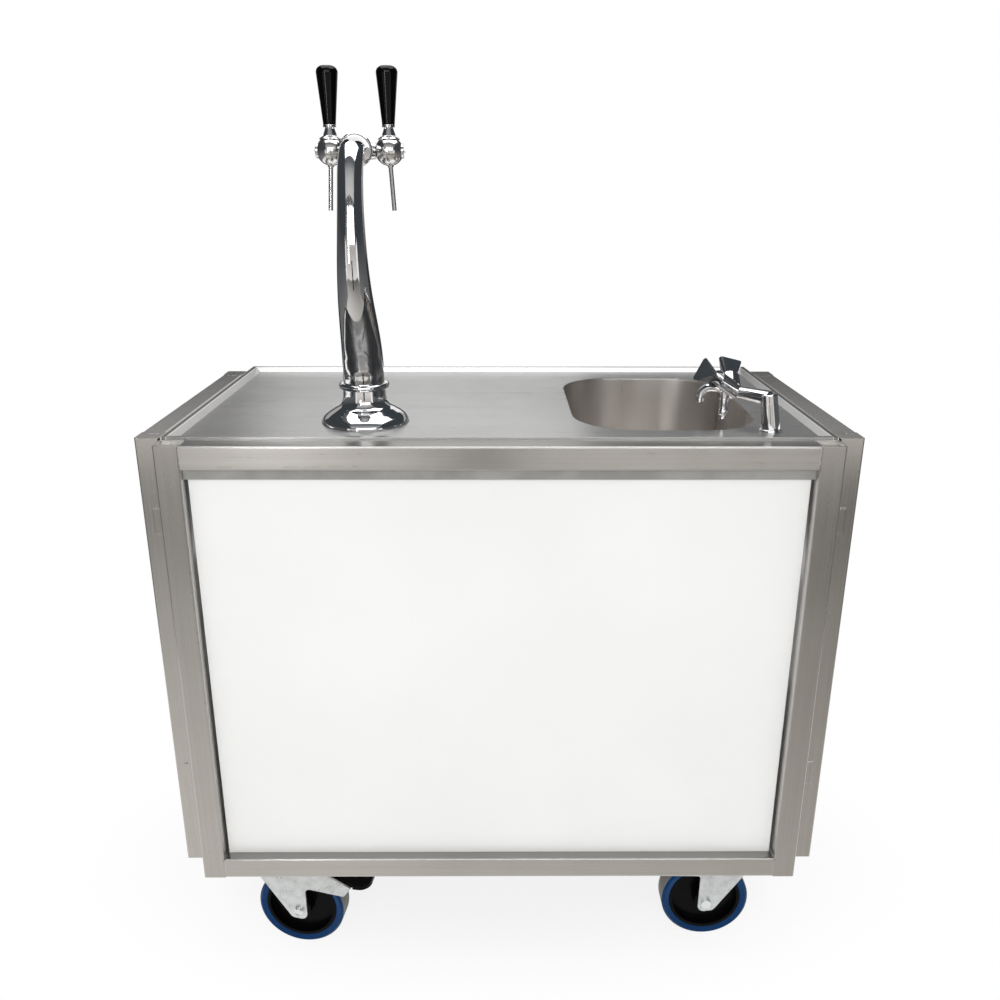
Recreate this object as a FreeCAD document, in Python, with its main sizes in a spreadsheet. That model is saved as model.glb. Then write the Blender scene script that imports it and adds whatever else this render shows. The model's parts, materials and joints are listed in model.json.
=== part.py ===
"""Mobile two-tap beer bar: a welded tube cart with a sink, a swan-neck tower and swinging side wings.

Frame of the model: X to the right and Y to the rear as the guest sees it, Z up, millimetres.
The origin lies on the floor, under the middle of the cart.
"""
import FreeCAD, Part
import math
import os
import re
import Sketcher
from FreeCAD import Placement, Rotation, Vector

SIZES = {
    # welded frame
    "frame_width": 1090,
    "frame_depth": 650,
    "frame_tall": 825,
    "ride_height": 195,
    "tube": 40,
    "tube_wall": 2,
    "tube_corner": 3,
    "cap_plate": 2,
    "post_recess": 4,
    # countertop sheet
    "counter_drop": 7,
    "sheet": 2,
    "rim_rise": 11,
    "rim_top": 9,
    "rim_slope": 9,
    "counter_gap": 1,
    # front panel and inner shelf
    "panel_set_back": 20,
    "panel_thick": 10,
    "panel_gap": 4.5,
    "strip_tall": 18,
    "strip_thick": 8,
    "shelf_thick": 2,
    "shelf_gap": 1,
    # sink and its waste
    "sink_x": 293,
    "sink_y": 18,
    "sink_wide": 325,
    "sink_long": 446,
    "sink_corner": 110,
    "sink_deep": 180,
    "sink_draft": 8,
    "sink_floor_round": 28,
    "sink_sheet": 1.5,
    "sink_flange": 8,
    "waste_hole": 26,
    "waste_flange": 36,
    "waste_cup": 12,
    "waste_tail": 60,
    "cup_wall": 3,
    "cup_cone": 6,
    "waste_lip": 2,
    "waste_edge": 1,
    "waste_step": 3,
    "pipe_overlap": 10,
    "pipe_outer": 16,
    "pipe_wall": 2,
    "pipe_dip": 30,
    # casters
    "left_caster_x": 432,
    "right_caster_x": 454,
    "left_caster_setback": 78,
    "right_caster_setback": 88,
    "mount_plate_thick": 5,
    "mount_plate_long": 160,
    "mount_plate_deep": 121,
    "plate_long": 135,
    "plate_deep": 110,
    "plate_thick": 6,
    "plate_round": 8,
    "bolt_spare": 2,
    "bolt_span_long": 90,
    "bolt_span_deep": 62,
    "bolt_hole": 5.5,
    "bolt_shank": 5,
    "bolt_head": 8,
    "bolt_head_tall": 6.4,
    "race_outer": 38,
    "race_tall": 7,
    "race_draft": 4,
    "kingpin": 8,
    "kingpin_head": 13,
    "kingpin_head_tall": 7,
    "trail": 52,
    "wheel_radius": 84,
    "tyre_width": 46,
    "tyre_band": 15,
    "tyre_round": 4,
    "tyre_bevel": 4,
    "tyre_shoulder": 5,
    "rim_width": 40,
    "rim_lip": 6,
    "rim_web": 12,
    "hub_radius": 21,
    "hub_width": 54,
    "hub_draft": 2,
    "axle": 6,
    "axle_head": 9.5,
    "axle_head_tall": 6,
    "axle_end_bevel": 2,
    "fork_inner": 56,
    "fork_wall": 4,
    "crown_thick": 5,
    "crown_edge": 2,
    "fork_nose": 38,
    "fork_throat": 26,
    "fork_throat_rise": 78,
    "axle_pad": 15,
    "axle_pad_heel": 18,
    "axle_pad_toe": 22,
    "axle_pad_round": 12,
    "pedal_arm_root": 14,
    "arm_root_rise": 52,
    "arm_root_round": 9,
    "arm_heel": 90,
    "arm_heel_rise": 42,
    "arm_heel_round": 4,
    "pedal_arm_tip": 104,
    "arm_tip_rise": 62,
    "arm_shoulder": 40,
    "arm_shoulder_round": 20,
    "hood_root_rise": 63,
    "hood_root_round": 6,
    "hood_heel": 94,
    "hood_heel_rise": 64,
    "hood_tip": 100,
    "running_gap": 0.3,
    "bearing_gap": 0.05,
    "front_left_turn": 8,
    # brake pedal
    "pedal_x": 64,
    "pedal_rise": 66,
    "pedal_pin": 4,
    "pedal_hub": 6.5,
    "pedal_reach": 77,
    "pedal_thick": 9,
    "tread_start": 44,
    "tread_round": 22,
    # side wings
    "wing_gap": 6,
    "wing_front": 49.6,
    "wing_length": 565.4,
    "wing_lift": 3,
    "wing_panel_thick": 10,
    "wing_panel_set_back": 4,
    "hinge_back": 44.6,
    "hinge_out": 3,
    "knuckle": 4.4,
    "knuckle_tall": 45,
    "hinge_pin": 2.5,
    "hinge_leaf": 2.6,
    "hinge_leaf_long": 26,
    "hinge_inset": 120,
    # beer tower
    "tower_x": -235,
    "tower_y": -137,
    "flange_radius": 75,
    "flange_edge": 4,
    "flange_dome": 24,
    "flange_step": 52,
    "flange_tall": 52,
    "collar_radius": 42.5,
    "collar_tall": 10,
    "collar_edge": 3,
    "collar_round": 2,
    "column_radius": 35.5,
    "column_tip": 20.5,
    "column_straight": 4,
    "lean_angle": 29,
    "lean_radius": 180,
    "lean_run": 50,
    "rise_radius": 190,
    "brow_angle": 20,
    "brow_radius": 353,
    "crook_radius": 55,
    "crook_run": 17,
    "taper_start": 0,
    "taper_end": 345,
    "bore_radius": 16,
    "bore_deep": 90,
    "tail_radius": 24,
    "tail_long": 40,
    "tail_gap": 1,
    "clamp_radius": 42,
    "clamp_thick": 12,
    "clamp_bevel": 2,
    # tap head
    "head_ring": 27,
    "head_ring_long": 12,
    "head_ring_edge": 2,
    "head_ring_round": 1.5,
    "head_radius": 20,
    "head_long": 70,
    "head_nose": 9,
    "head_nose_long": 8,
    "head_nose_round": 6,
    "head_reach": 46,
    "tap_span": 49,
    "arm_root": 15,
    "arm_tip": 13,
    "ball": 24,
    "spout": 3.8,
    "spout_bore": 2.8,
    "spout_long": 78,
    "spout_boss": 5,
    "spout_boss_draft": 3,
    "spout_boss_rise": 2,
    "spout_seat": 6,
    "spout_splay": 3.3,
    "cap_disc": 12,
    "cap_thick": 4,
    "cap_edge": 1.2,
    "cap_nub": 4,
    "cap_nub_tall": 2,
    # tap levers
    "hood": 2.2,
    "hood_gap": 0.3,
    "hood_angle": 45,
    "stem_root": 12,
    "stem_neck": 7.5,
    "stem_long": 14,
    "ferrule": 11,
    "ferrule_tall": 4,
    "grip_foot": 10.5,
    "grip_top": 18.5,
    "grip_long": 90,
    "grip_round": 10,
    "grip_crown": 8,
    "grip_crown_round": 6,
    # sink mixer
    "mixer_out": 1.5,
    "mixer_ahead": 1,
    "stub_flange": 19,
    "stub_flange_tall": 4,
    "stub_foot": 16.5,
    "stub_top": 14,
    "stub_tall": 48,
    "stub_tail": 8,
    "stub_tail_long": 45,
    "stub_nut_tall": 10,
    "pillar_lean": 8,
    "spigot": 5,
    "spigot_tall": 9,
    "spigot_cover": 6,
    "cap_round": 3,
    "arm_angle": 152,
    "arm_long": 77,
    "arm_rise": 15,
    "mixer_arm_root": 13,
    "mixer_arm_tip": 10,
    "swing_clear": 40,
    "barrel": 16,
    "barrel_long": 52,
    "valve_body": 17,
    "valve_front_reach": 26,
    "valve_rear_reach": 26,
    "valve_rear_offset": 16,
    "valve_neck": 9,
    "valve_neck_long": 9,
    "knob_foot": 14,
    "knob_top": 28,
    "knob_long": 34,
    "knob_rounding": 0.18,
    "knob_gap": 0.5,
    "front_knob_roll": 24,
    "rear_knob_roll": 17,
    "mixer_spout": 7,
    "mixer_spout_bore": 5,
    "mixer_spout_reach": 42,
    "mixer_spout_bend": 21,
    "mixer_spout_drop": 27,
    "spout_sink": 6,
    "nozzle": 8.5,
    "nozzle_taper": 2,
    "nozzle_seat": 2,
    "nozzle_stub": 8,
    "nozzle_cone_long": 22,
    "nozzle_bead_at": 22,
    "nozzle_long": 34,
    # ice cooler with its cold plate
    "tub_x": -240,
    "tub_wide": 480,
    "tub_front": 36,
    "tub_long": 480,
    "tub_tall": 360,
    "tub_wall": 30,
    "tub_corner": 30,
    "deck_long": 190,
    "lid_thick": 30,
    "lid_gap": 2,
    "lid_plug": 14,
    "lid_plug_side": 6,
    "lid_plug_front": 10,
    "lid_plug_rear": 14,
    "lid_grip_long": 140,
    "lid_grip_wide": 24,
    "lid_grip_tall": 14,
    "lid_grip_round": 10,
    "lid_grip_back": 40,
    "lid_knuckle": 6,
    "lid_lug": 14,
    "lid_pin": 2.5,
    "lid_pin_long": 30,
    "plate_wide": 360,
    "plate_deep_y": 300,
    "plate_tall": 45,
    "cold_plate_gap": 3,
    "cold_plate_round": 8,
    "line_radius": 4.75,
    "line_bore": 3.5,
    "line_span": 22,
    "line_rise": 40,
    "line_socket": 3,
    "line_socket_tall": 14,
    "spigot_span": 60,
    "spigot_out": 28,
    "spigot_nut": 12,
    "spigot_nut_tall": 6,
    # water canisters
    "canister_wide": 180,
    "canister_long": 320,
    "canister_tall": 340,
    "canister_corner": 25,
    "canister_gap": 15,
    "neck_radius": 27,
    "neck_bore": 22,
    "neck_tall": 22,
    "cap_radius": 31,
    "cap_tall": 20,
    "cap_crown": 4,
    "cap_crown_round": 2,
}

doc = FreeCAD.newDocument("beer_bar")
sheet = doc.addObject("Spreadsheet::Sheet", "Sizes")
for line_number, (alias, number) in enumerate(SIZES.items(), 1):
    sheet.set(f"A{line_number}", alias)
    sheet.set(f"B{line_number}", str(number))
    sheet.setAlias(f"B{line_number}", alias)
doc.recompute()

NODES = {}


# ---------------------------------------------------------------- helpers
def formula(text):
    """A spreadsheet formula from plain size names."""
    return re.sub(r"[a-z_]+", lambda word: f"Sizes.{word[0]}" if word[0] in SIZES else word[0], str(text))


def size(text):
    """The number that a formula gives at the present sizes."""
    return float(sheet.evalExpression(formula(text)))


def bind(thing, prop, text):
    thing.setExpression(prop, formula(text))


def place(thing, x="0", y="0", z="0", rotation=Rotation()):
    """Puts a thing at a point given by three formulas."""
    thing.Placement = Placement(Vector(size(x), size(y), size(z)), rotation)
    for axis, text in zip("xyz", (x, y, z)):
        bind(thing, f"Placement.Base.{axis}", text)
    return thing


def new_body(label, x="0", y="0", z="0", rotation=Rotation()):
    body = doc.addObject("PartDesign::Body", label)
    body.Label = label
    return place(body, x, y, z, rotation)


def new_sketch(body, name, plane, offset="0"):
    """A sketch on one of the body's own planes, moved along that plane's normal."""
    sketch = body.newObject("Sketcher::SketchObject", f"{body.Name}_{name}")
    support = next(item for item in body.Origin.OriginFeatures if item.Role == f"{plane}_Plane")
    sketch.AttachmentSupport = (support, [""])
    sketch.MapMode = "FlatFace"
    bind(sketch, "AttachmentOffset.Base.z", offset)
    return sketch


def pin_point(sketch, geometry, position, x, y):
    """Ties one point of a sketch to two formulas."""
    for kind, text in (("DistanceX", x), ("DistanceY", y)):
        index = sketch.addConstraint(Sketcher.Constraint(kind, -1, 1, geometry, position, size(text)))
        bind(sketch, f"Constraints[{index}]", text)


def outline(sketch, corners):
    """A closed outline of straight runs. A corner is (x, y) or (x, y, radius), all formulas."""
    points = [Vector(size(corner[0]), size(corner[1]), 0) for corner in corners]
    radii = [size(corner[2]) if len(corner) > 2 else 0 for corner in corners]
    count = len(corners)
    arrivals, departures, arcs = [], [], []
    for index, (point, radius) in enumerate(zip(points, radii)):
        before = (points[index - 1] - point).normalize()
        after = (points[(index + 1) % count] - point).normalize()
        half = before.getAngle(after) / 2
        setback = radius / math.tan(half) if radius else 0
        arrivals.append(point + before * setback)
        departures.append(point + after * setback)
        if radius:
            centre = point + (before + after).normalize() * (radius / math.sin(half))
            start, end = arrivals[-1] - centre, departures[-1] - centre
            convex = start.cross(end).z > 0
            first, last = (start, end) if convex else (end, start)
            circle = Part.Circle(centre, Vector(0, 0, 1), radius)
            arc = Part.ArcOfCircle(circle, math.atan2(first.y, first.x), math.atan2(last.y, last.x))
            arcs.append((arc, convex))
        else:
            arcs.append(None)
    runs = []
    for index in range(count):
        segment = Part.LineSegment(departures[index], arrivals[(index + 1) % count])
        runs.append(sketch.addGeometry(segment, False))
    for index, corner in enumerate(corners):
        run_in, run_out = runs[index - 1], runs[index]
        if arcs[index] is None:
            sketch.addConstraint(Sketcher.Constraint("Coincident", run_in, 2, run_out, 1))
            pin_point(sketch, run_out, 1, corner[0], corner[1])
            continue
        arc, convex = arcs[index]
        bend = sketch.addGeometry(arc, False)
        first, last = (1, 2) if convex else (2, 1)
        sketch.addConstraint(Sketcher.Constraint("Tangent", run_in, 2, bend, first))
        sketch.addConstraint(Sketcher.Constraint("Tangent", bend, last, run_out, 1))
        radius_index = sketch.addConstraint(Sketcher.Constraint("Radius", bend, radii[index]))
        bind(sketch, f"Constraints[{radius_index}]", corner[2])
        apex = sketch.addGeometry(Part.Point(points[index]), True)
        pin_point(sketch, apex, 1, corner[0], corner[1])
        sketch.addConstraint(Sketcher.Constraint("PointOnObject", apex, 1, run_in))
        sketch.addConstraint(Sketcher.Constraint("PointOnObject", apex, 1, run_out))


def rectangle(sketch, wide, tall, x="0", y="0", radius=None):
    """A rectangle about the point (x, y), with rounded corners if a radius is given."""
    corners = []
    for side, end in ((-1, -1), (1, -1), (1, 1), (-1, 1)):
        corner = [f"{x} + {side} * ({wide}) / 2", f"{y} + {end} * ({tall}) / 2"]
        corners.append(corner + ([radius] if radius else []))
    outline(sketch, corners)


def circle(sketch, radius, x="0", y="0"):
    centre = Vector(size(x), size(y), 0)
    index = sketch.addGeometry(Part.Circle(centre, Vector(0, 0, 1), size(radius)), False)
    pin_point(sketch, index, 3, x, y)
    radius_index = sketch.addConstraint(Sketcher.Constraint("Radius", index, size(radius)))
    bind(sketch, f"Constraints[{radius_index}]", radius)


def pad(body, sketch, length, midplane=False, reverse=False):
    feature = body.newObject("PartDesign::Pad", f"{sketch.Name}_pad")
    feature.Profile = sketch
    feature.SideType = "Symmetric" if midplane else "One side"
    feature.Reversed = reverse
    bind(feature, "Length", length)
    return feature


def pocket(body, sketch, length, midplane=False, reverse=False):
    """A cut into the body; it fails loudly if it removes nothing."""
    doc.recompute()
    before = body.Shape.Volume
    feature = body.newObject("PartDesign::Pocket", f"{sketch.Name}_pocket")
    feature.Profile = sketch
    feature.SideType = "Symmetric" if midplane else "One side"
    feature.Reversed = reverse
    bind(feature, "Length", length)
    doc.recompute()
    if body.Shape.Volume >= before - 1e-6:
        raise ValueError(f"{sketch.Name} cuts nothing")
    return feature


def revolve(body, sketch, cut=False):
    """A full turn about the sketch's vertical axis."""
    kind = "Groove" if cut else "Revolution"
    feature = body.newObject(f"PartDesign::{kind}", f"{sketch.Name}_turn")
    feature.Profile = sketch
    feature.ReferenceAxis = (sketch, ["V_Axis"])
    feature.Angle = 360
    return feature


def turned(label, corners, x="0", y="0", z="0", rotation=Rotation(), plane="XZ"):
    """A body turned about its own Z axis from a half outline of (radius, height) corners."""
    body = new_body(label, x, y, z, rotation)
    sketch = new_sketch(body, "profile", plane)
    outline(sketch, corners)
    revolve(body, sketch)
    return body


def block(label, wide, deep, tall, x, y, z, radius=None):
    """A plain slab standing on z, centred on (x, y)."""
    body = new_body(label, x, y, z)
    sketch = new_sketch(body, "plan", "XY")
    rectangle(sketch, wide, deep, radius=radius)
    pad(body, sketch, tall)
    return body


def bar(label, length, x, y, z, direction, closed_end=None):
    """A square tube from (x, y, z) along a direction, with an end plate if one is named."""
    turn = Rotation(Vector(0, 0, 1), direction)
    body = new_body(label, x, y, z, turn)
    skin = new_sketch(body, "skin", "XY")
    rectangle(skin, "tube", "tube", radius="tube_corner")
    pad(body, skin, length)
    hollow = new_sketch(body, "hollow", "XY")
    rectangle(hollow, "tube - 2 * tube_wall", "tube - 2 * tube_wall")
    depth = f"{length} - {closed_end}" if closed_end else length
    pocket(body, hollow, depth, reverse=True)
    return body


def rod(label, radius, length, x, y, z, rotation=Rotation()):
    body = new_body(label, x, y, z, rotation)
    sketch = new_sketch(body, "round", "XY")
    circle(sketch, radius)
    pad(body, sketch, length)
    return body


def group(label, members):
    """One node of several separate solids."""
    compound = doc.addObject("Part::Compound", label)
    compound.Label = label
    compound.Links = members
    return keep(compound)


def less(label, base, tool):
    """The base with the tool's space taken out of it."""
    cut = doc.addObject("Part::Cut", label)
    cut.Label = label
    cut.Base = base
    cut.Tool = tool
    return cut


def shaped(label, shape, placement=Placement()):
    """A piece whose form no feature or primitive gives."""
    feature = doc.addObject("Part::Feature", label)
    feature.Label = label
    feature.Shape = shape
    feature.Placement = placement
    return feature


def keep(piece):
    """Marks an object as a finished node."""
    NODES[piece.Label] = piece
    return piece


UP, DOWN = Vector(0, 0, 1), Vector(0, 0, -1)
RIGHT, BACK = Vector(1, 0, 0), Vector(0, 1, 0)

FRONT = "-frame_depth / 2"
REAR = "frame_depth / 2"
FRAME_TOP = "ride_height + frame_tall"
SHEET_FOOT = f"{FRAME_TOP} - counter_drop"
COUNTER = f"{SHEET_FOOT} + sheet"
MIXER_X = "sink_x + sink_wide / 2 + mixer_out"
MIXER_Y = "sink_y - sink_long / 2 - mixer_ahead"
POST_X = "(frame_width - tube) / 2"
POST_Y = "(frame_depth - tube) / 2"
INNER_WIDTH = "frame_width - 2 * tube"
INNER_DEPTH = "frame_depth - 2 * tube"


# ---------------------------------------------------------------- welded frame
def make_frame():
    """Four posts, four top rails and four bottom rails, butted and welded."""
    posts = []
    for side, sign in (("left", -1), ("right", 1)):
        posts.append(make_front_post(f"post_front_{side}", f"{sign} * {POST_X}"))
        posts.append(bar(f"post_rear_{side}", "frame_tall - counter_drop", f"{sign} * {POST_X}", POST_Y,
                         "ride_height", UP))
    group("frame_posts", posts)

    low = "ride_height + tube / 2"
    high = f"{SHEET_FOOT} - tube / 2"
    start_x = f"-({INNER_WIDTH}) / 2"
    start_y = f"-({INNER_DEPTH}) / 2"
    top = [
        bar("top_rail_front", INNER_WIDTH, start_x, f"-{POST_Y}", f"{FRAME_TOP} - tube / 2", RIGHT),
        bar("top_rail_rear", INNER_WIDTH, start_x, POST_Y, high, RIGHT),
    ]
    bottom = [
        bar("bottom_rail_front", INNER_WIDTH, start_x, f"-{POST_Y}", low, RIGHT),
        bar("bottom_rail_rear", INNER_WIDTH, start_x, POST_Y, low, RIGHT),
    ]
    for side, sign in (("left", -1), ("right", 1)):
        top.append(bar(f"top_rail_{side}", INNER_DEPTH, f"{sign} * {POST_X}", start_y, high, BACK))
        bottom.append(bar(f"bottom_rail_{side}", INNER_DEPTH, f"{sign} * {POST_X}", start_y, low, BACK))
    for name, sign_x, sign_y, swivel_x, swivel_y in caster_corners():
        bottom.append(make_mount_plate(f"mount_plate_{name}", sign_x, sign_y, swivel_x, swivel_y))
    group("frame_top_rails", top)
    group("frame_bottom_rails", bottom)


def make_front_post(label, x):
    """A front post, open to view at its top: its plug sits a little below the tube's end."""
    post = bar(label, "frame_tall", x, f"-{POST_Y}", "ride_height", UP, "(cap_plate + post_recess)")
    recess = new_sketch(post, "recess", "XY", "frame_tall - post_recess")
    rectangle(recess, "tube - 2 * tube_wall", "tube - 2 * tube_wall")
    pocket(post, recess, "post_recess", reverse=True)
    return post


def caster_corners():
    """Name, side, end, and the swivel's X and Y, of each caster."""
    corners = []
    for end, sign_y in (("front", -1), ("rear", 1)):
        for side, sign_x in (("left", -1), ("right", 1)):
            swivel_x = f"{sign_x} * {side}_caster_x"
            swivel_y = f"{sign_y} * (frame_depth / 2 - {side}_caster_setback)"
            corners.append((f"{end}_{side}", sign_x, sign_y, swivel_x, swivel_y))
    return corners


def bolt_points():
    return [(f"{end} * bolt_span_long / 2", f"{side} * bolt_span_deep / 2")
            for end in (-1, 1) for side in (-1, 1)]


def make_mount_plate(label, sign_x, sign_y, swivel_x, swivel_y):
    """A plate welded in the corner of the bottom rails, tapped for the caster's bolts."""
    corner_x = f"{sign_x} * (frame_width / 2 - tube - mount_plate_long / 2)"
    corner_y = f"{sign_y} * (frame_depth / 2 - tube - mount_plate_deep / 2)"
    body = new_body(label, corner_x, corner_y, "ride_height")
    plan = new_sketch(body, "plan", "XY")
    rectangle(plan, "mount_plate_long", "mount_plate_deep")
    pad(body, plan, "mount_plate_thick")
    for number, (bolt_x, bolt_y) in enumerate(bolt_points()):
        hole = new_sketch(body, f"hole_{number}", "XY")
        circle(hole, "bolt_shank + bearing_gap", f"{swivel_x} - {corner_x} + {bolt_x}",
               f"{swivel_y} - {corner_y} + {bolt_y}")
        pocket(body, hole, "mount_plate_thick", reverse=True)
    return body


# ---------------------------------------------------------------- countertop
def make_countertop():
    """A folded sheet: flat top, sloped raised rim all round, holes for sink, tower and mixer."""
    wide, deep = "frame_width", "frame_depth - tube - counter_gap"
    centre_y = "(tube + counter_gap) / 2"
    top_z = f"{SHEET_FOOT} + rim_rise"

    def tapered(label, low_inset, high_inset, low_z, high_z):
        wedge = doc.addObject("Part::Wedge", label)
        for prop, text in (
            ("Xmin", f"{low_inset}"), ("Xmax", f"{wide} - ({low_inset})"),
            ("Zmin", f"{low_inset}"), ("Zmax", f"{deep} - ({low_inset})"),
            ("X2min", f"{high_inset}"), ("X2max", f"{wide} - ({high_inset})"),
            ("Z2min", f"{high_inset}"), ("Z2max", f"{deep} - ({high_inset})"),
            ("Ymin", "0"), ("Ymax", f"{high_z} - ({low_z})"),
        ):
            bind(wedge, prop, text)
        upright = Rotation(Vector(1, 0, 0), 90)
        return place(wedge, "-frame_width / 2", f"{centre_y} + ({deep}) / 2", low_z, upright)

    outer = tapered("counter_outer", "0", "0", SHEET_FOOT, top_z)
    tray = tapered("counter_tray", "rim_top + rim_slope", "rim_top", COUNTER, top_z)
    fold_low = "rim_top + rim_slope + sheet * rim_slope / (rim_rise - sheet) - sheet"
    fold_high = "rim_top - sheet"
    under = tapered("counter_under", "sheet", "sheet", SHEET_FOOT, f"{top_z} - sheet")
    core = tapered("counter_core", fold_low, fold_high, SHEET_FOOT, f"{top_z} - sheet")
    hollow = less("counter_fold", under, core)
    sheet_top = less("counter_sheet", less("counter_pan", outer, tray), hollow)

    holes = new_body("counter_holes", z=f"{SHEET_FOOT} - sheet")
    sink_hole = new_sketch(holes, "sink", "XY")
    rectangle(sink_hole, "sink_wide", "sink_long", "sink_x", "sink_y", "sink_corner")
    pad(holes, sink_hole, "4 * sheet")
    tower_hole = doc.addObject("Part::Cylinder", "counter_tower_hole")
    bind(tower_hole, "Radius", "tail_radius + tail_gap")
    mixer_hole = doc.addObject("Part::Cylinder", "counter_mixer_hole")
    bind(mixer_hole, "Radius", "stub_tail + tail_gap")
    for hole, x, y in ((tower_hole, "tower_x", "tower_y"), (mixer_hole, MIXER_X, MIXER_Y)):
        bind(hole, "Height", "4 * sheet")
        place(hole, x, y, f"{SHEET_FOOT} - sheet")
    cutters = doc.addObject("Part::Compound", "counter_cutters")
    cutters.Links = [holes, tower_hole, mixer_hole]
    keep(less("countertop", sheet_top, cutters))


# ---------------------------------------------------------------- panel, strip and shelf
def make_panels():
    panel_y = f"{FRONT} + panel_set_back + panel_thick / 2"
    keep(block("front_panel", f"{INNER_WIDTH} - 2 * panel_gap", "panel_thick", "frame_tall - 2 * tube",
               "0", panel_y, "ride_height + tube"))
    strip_y = f"{FRONT} + panel_set_back - strip_thick / 2"
    keep(block("panel_top_strip", INNER_WIDTH, "strip_thick", "strip_tall", "0", strip_y,
               f"{FRAME_TOP} - tube - strip_tall"))
    shelf_depth = "frame_depth - panel_set_back - panel_thick - 2 * shelf_gap"
    keep(block("base_shelf", f"{INNER_WIDTH} - 2 * shelf_gap", shelf_depth, "shelf_thick", "0",
               "(panel_set_back + panel_thick) / 2", "ride_height + tube"))


# ---------------------------------------------------------------- sink
def make_sink():
    """A drawn bowl with sloping walls and a rounded floor, welded under the countertop."""
    outer = make_bowl("sink_outer", "sink_sheet", "sink_deep")
    rim = new_sketch(outer, "rim", "XY")
    rectangle(rim, "sink_wide + 2 * sink_flange", "sink_long + 2 * sink_flange",
              radius="sink_corner + sink_flange")
    pad(outer, rim, "sink_sheet")
    inner = make_bowl("sink_inner", "0", "sink_deep - sink_sheet")
    drain = rod("sink_drain", "waste_hole + bearing_gap", "4 * sink_sheet", "sink_x", "sink_y",
                f"{SHEET_FOOT} - sink_deep - sink_sheet")
    keep(less("sink_bowl", less("sink_shell", outer, inner), drain))


def make_bowl(label, skin, deep):
    """The bowl's filled form, a skin larger all round than its opening."""
    body = new_body(label, "sink_x", "sink_y", SHEET_FOOT, Rotation(Vector(1, 0, 0), 180))
    mouth = new_sketch(body, "mouth", "XY")
    rectangle(mouth, f"sink_wide + 2 * {skin}", f"sink_long + 2 * {skin}", radius=f"sink_corner + {skin}")
    form = pad(body, mouth, deep)
    bind(form, "TaperAngle", "-atan(sink_draft / sink_deep)")
    doc.recompute()
    depth = size(deep)
    floor_edges = [f"Edge{index}" for index, edge in enumerate(form.Shape.Edges, 1)
                   if edge.BoundBox.ZMin > depth - 0.001]
    fillet = body.newObject("PartDesign::Fillet", f"{label}_floor")
    fillet.Base = (form, floor_edges)
    bind(fillet, "Radius", f"sink_floor_round + {skin}")
    doc.recompute()
    return body


def make_waste():
    """The basket strainer, and the pipe from it down into the waste canister."""
    floor_z = f"{SHEET_FOOT} - sink_deep + sink_sheet"
    keep(turned("sink_strainer", [
        ("pipe_outer + bearing_gap", "-waste_tail"), ("pipe_outer + cup_wall", "-waste_tail"),
        ("pipe_outer + cup_wall", "-waste_cup - cup_cone"), ("waste_hole", "-waste_cup"),
        ("waste_hole", "0"), ("waste_flange", "0"), ("waste_flange", "waste_edge"),
        ("waste_flange - waste_step", "waste_lip"), ("waste_hole - cup_wall", "waste_edge / 2"),
        ("waste_hole - cup_wall", "-waste_cup + cup_wall"),
        ("pipe_outer + bearing_gap", "-waste_cup + cup_wall"),
    ], "sink_x", "sink_y", floor_z))
    pipe_top = f"{floor_z} - waste_cup - pipe_overlap"
    pipe_foot = "ride_height + tube + shelf_thick + canister_tall + neck_tall - pipe_dip"
    keep(turned("waste_pipe", [
        ("pipe_outer - pipe_wall", "0"), ("pipe_outer", "0"),
        ("pipe_outer", f"{pipe_top} - ({pipe_foot})"),
        ("pipe_outer - pipe_wall", f"{pipe_top} - ({pipe_foot})"),
    ], "sink_x", "sink_y", pipe_foot))


# ---------------------------------------------------------------- casters
AXLE_RISE = "wheel_radius"
RACE_FOOT = "ride_height - plate_thick - race_tall"
CROWN_TOP = f"{RACE_FOOT} - running_gap"
FORK_WIDTH = "fork_inner + 2 * fork_wall"


def make_casters():
    plates, bolts = [], []
    for name, sign_x, _, swivel_x, swivel_y in caster_corners():
        plates.append(make_caster_plate(name, swivel_x, swivel_y))
        bolts.extend(make_caster_bolts(name, swivel_x, swivel_y))
        turn = -size("front_left_turn") if name == "front_left" else 0
        heading = turn if sign_x < 0 else 180
        make_caster(name, swivel_x, swivel_y, Rotation(UP, heading), braked=sign_x < 0)
    group("caster_plates", plates)
    group("caster_bolts", bolts)


def make_caster_plate(name, x, y):
    """The top plate with its ball race and kingpin, riveted into one."""
    body = new_body(f"caster_plate_{name}", x, y, f"{RACE_FOOT}")
    king = new_sketch(body, "king", "XZ")
    outline(king, [
        ("0", "-running_gap - crown_thick - running_gap - kingpin_head_tall"),
        ("kingpin_head", "-running_gap - crown_thick - running_gap - kingpin_head_tall"),
        ("kingpin_head", "-running_gap - crown_thick - running_gap"),
        ("kingpin", "-running_gap - crown_thick - running_gap"), ("kingpin", "0"),
        ("race_outer", "0"), ("race_outer - race_draft", "race_tall"), ("0", "race_tall"),
    ])
    revolve(body, king)
    plan = new_sketch(body, "plan", "XY", "race_tall")
    rectangle(plan, "plate_long", "plate_deep", radius="plate_round")
    pad(body, plan, "plate_thick")
    for number, (bolt_x, bolt_y) in enumerate(bolt_points()):
        hole = new_sketch(body, f"hole_{number}", "XY", "race_tall")
        circle(hole, "bolt_hole", bolt_x, bolt_y)
        pocket(body, hole, "plate_thick", reverse=True)
    return body


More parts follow.
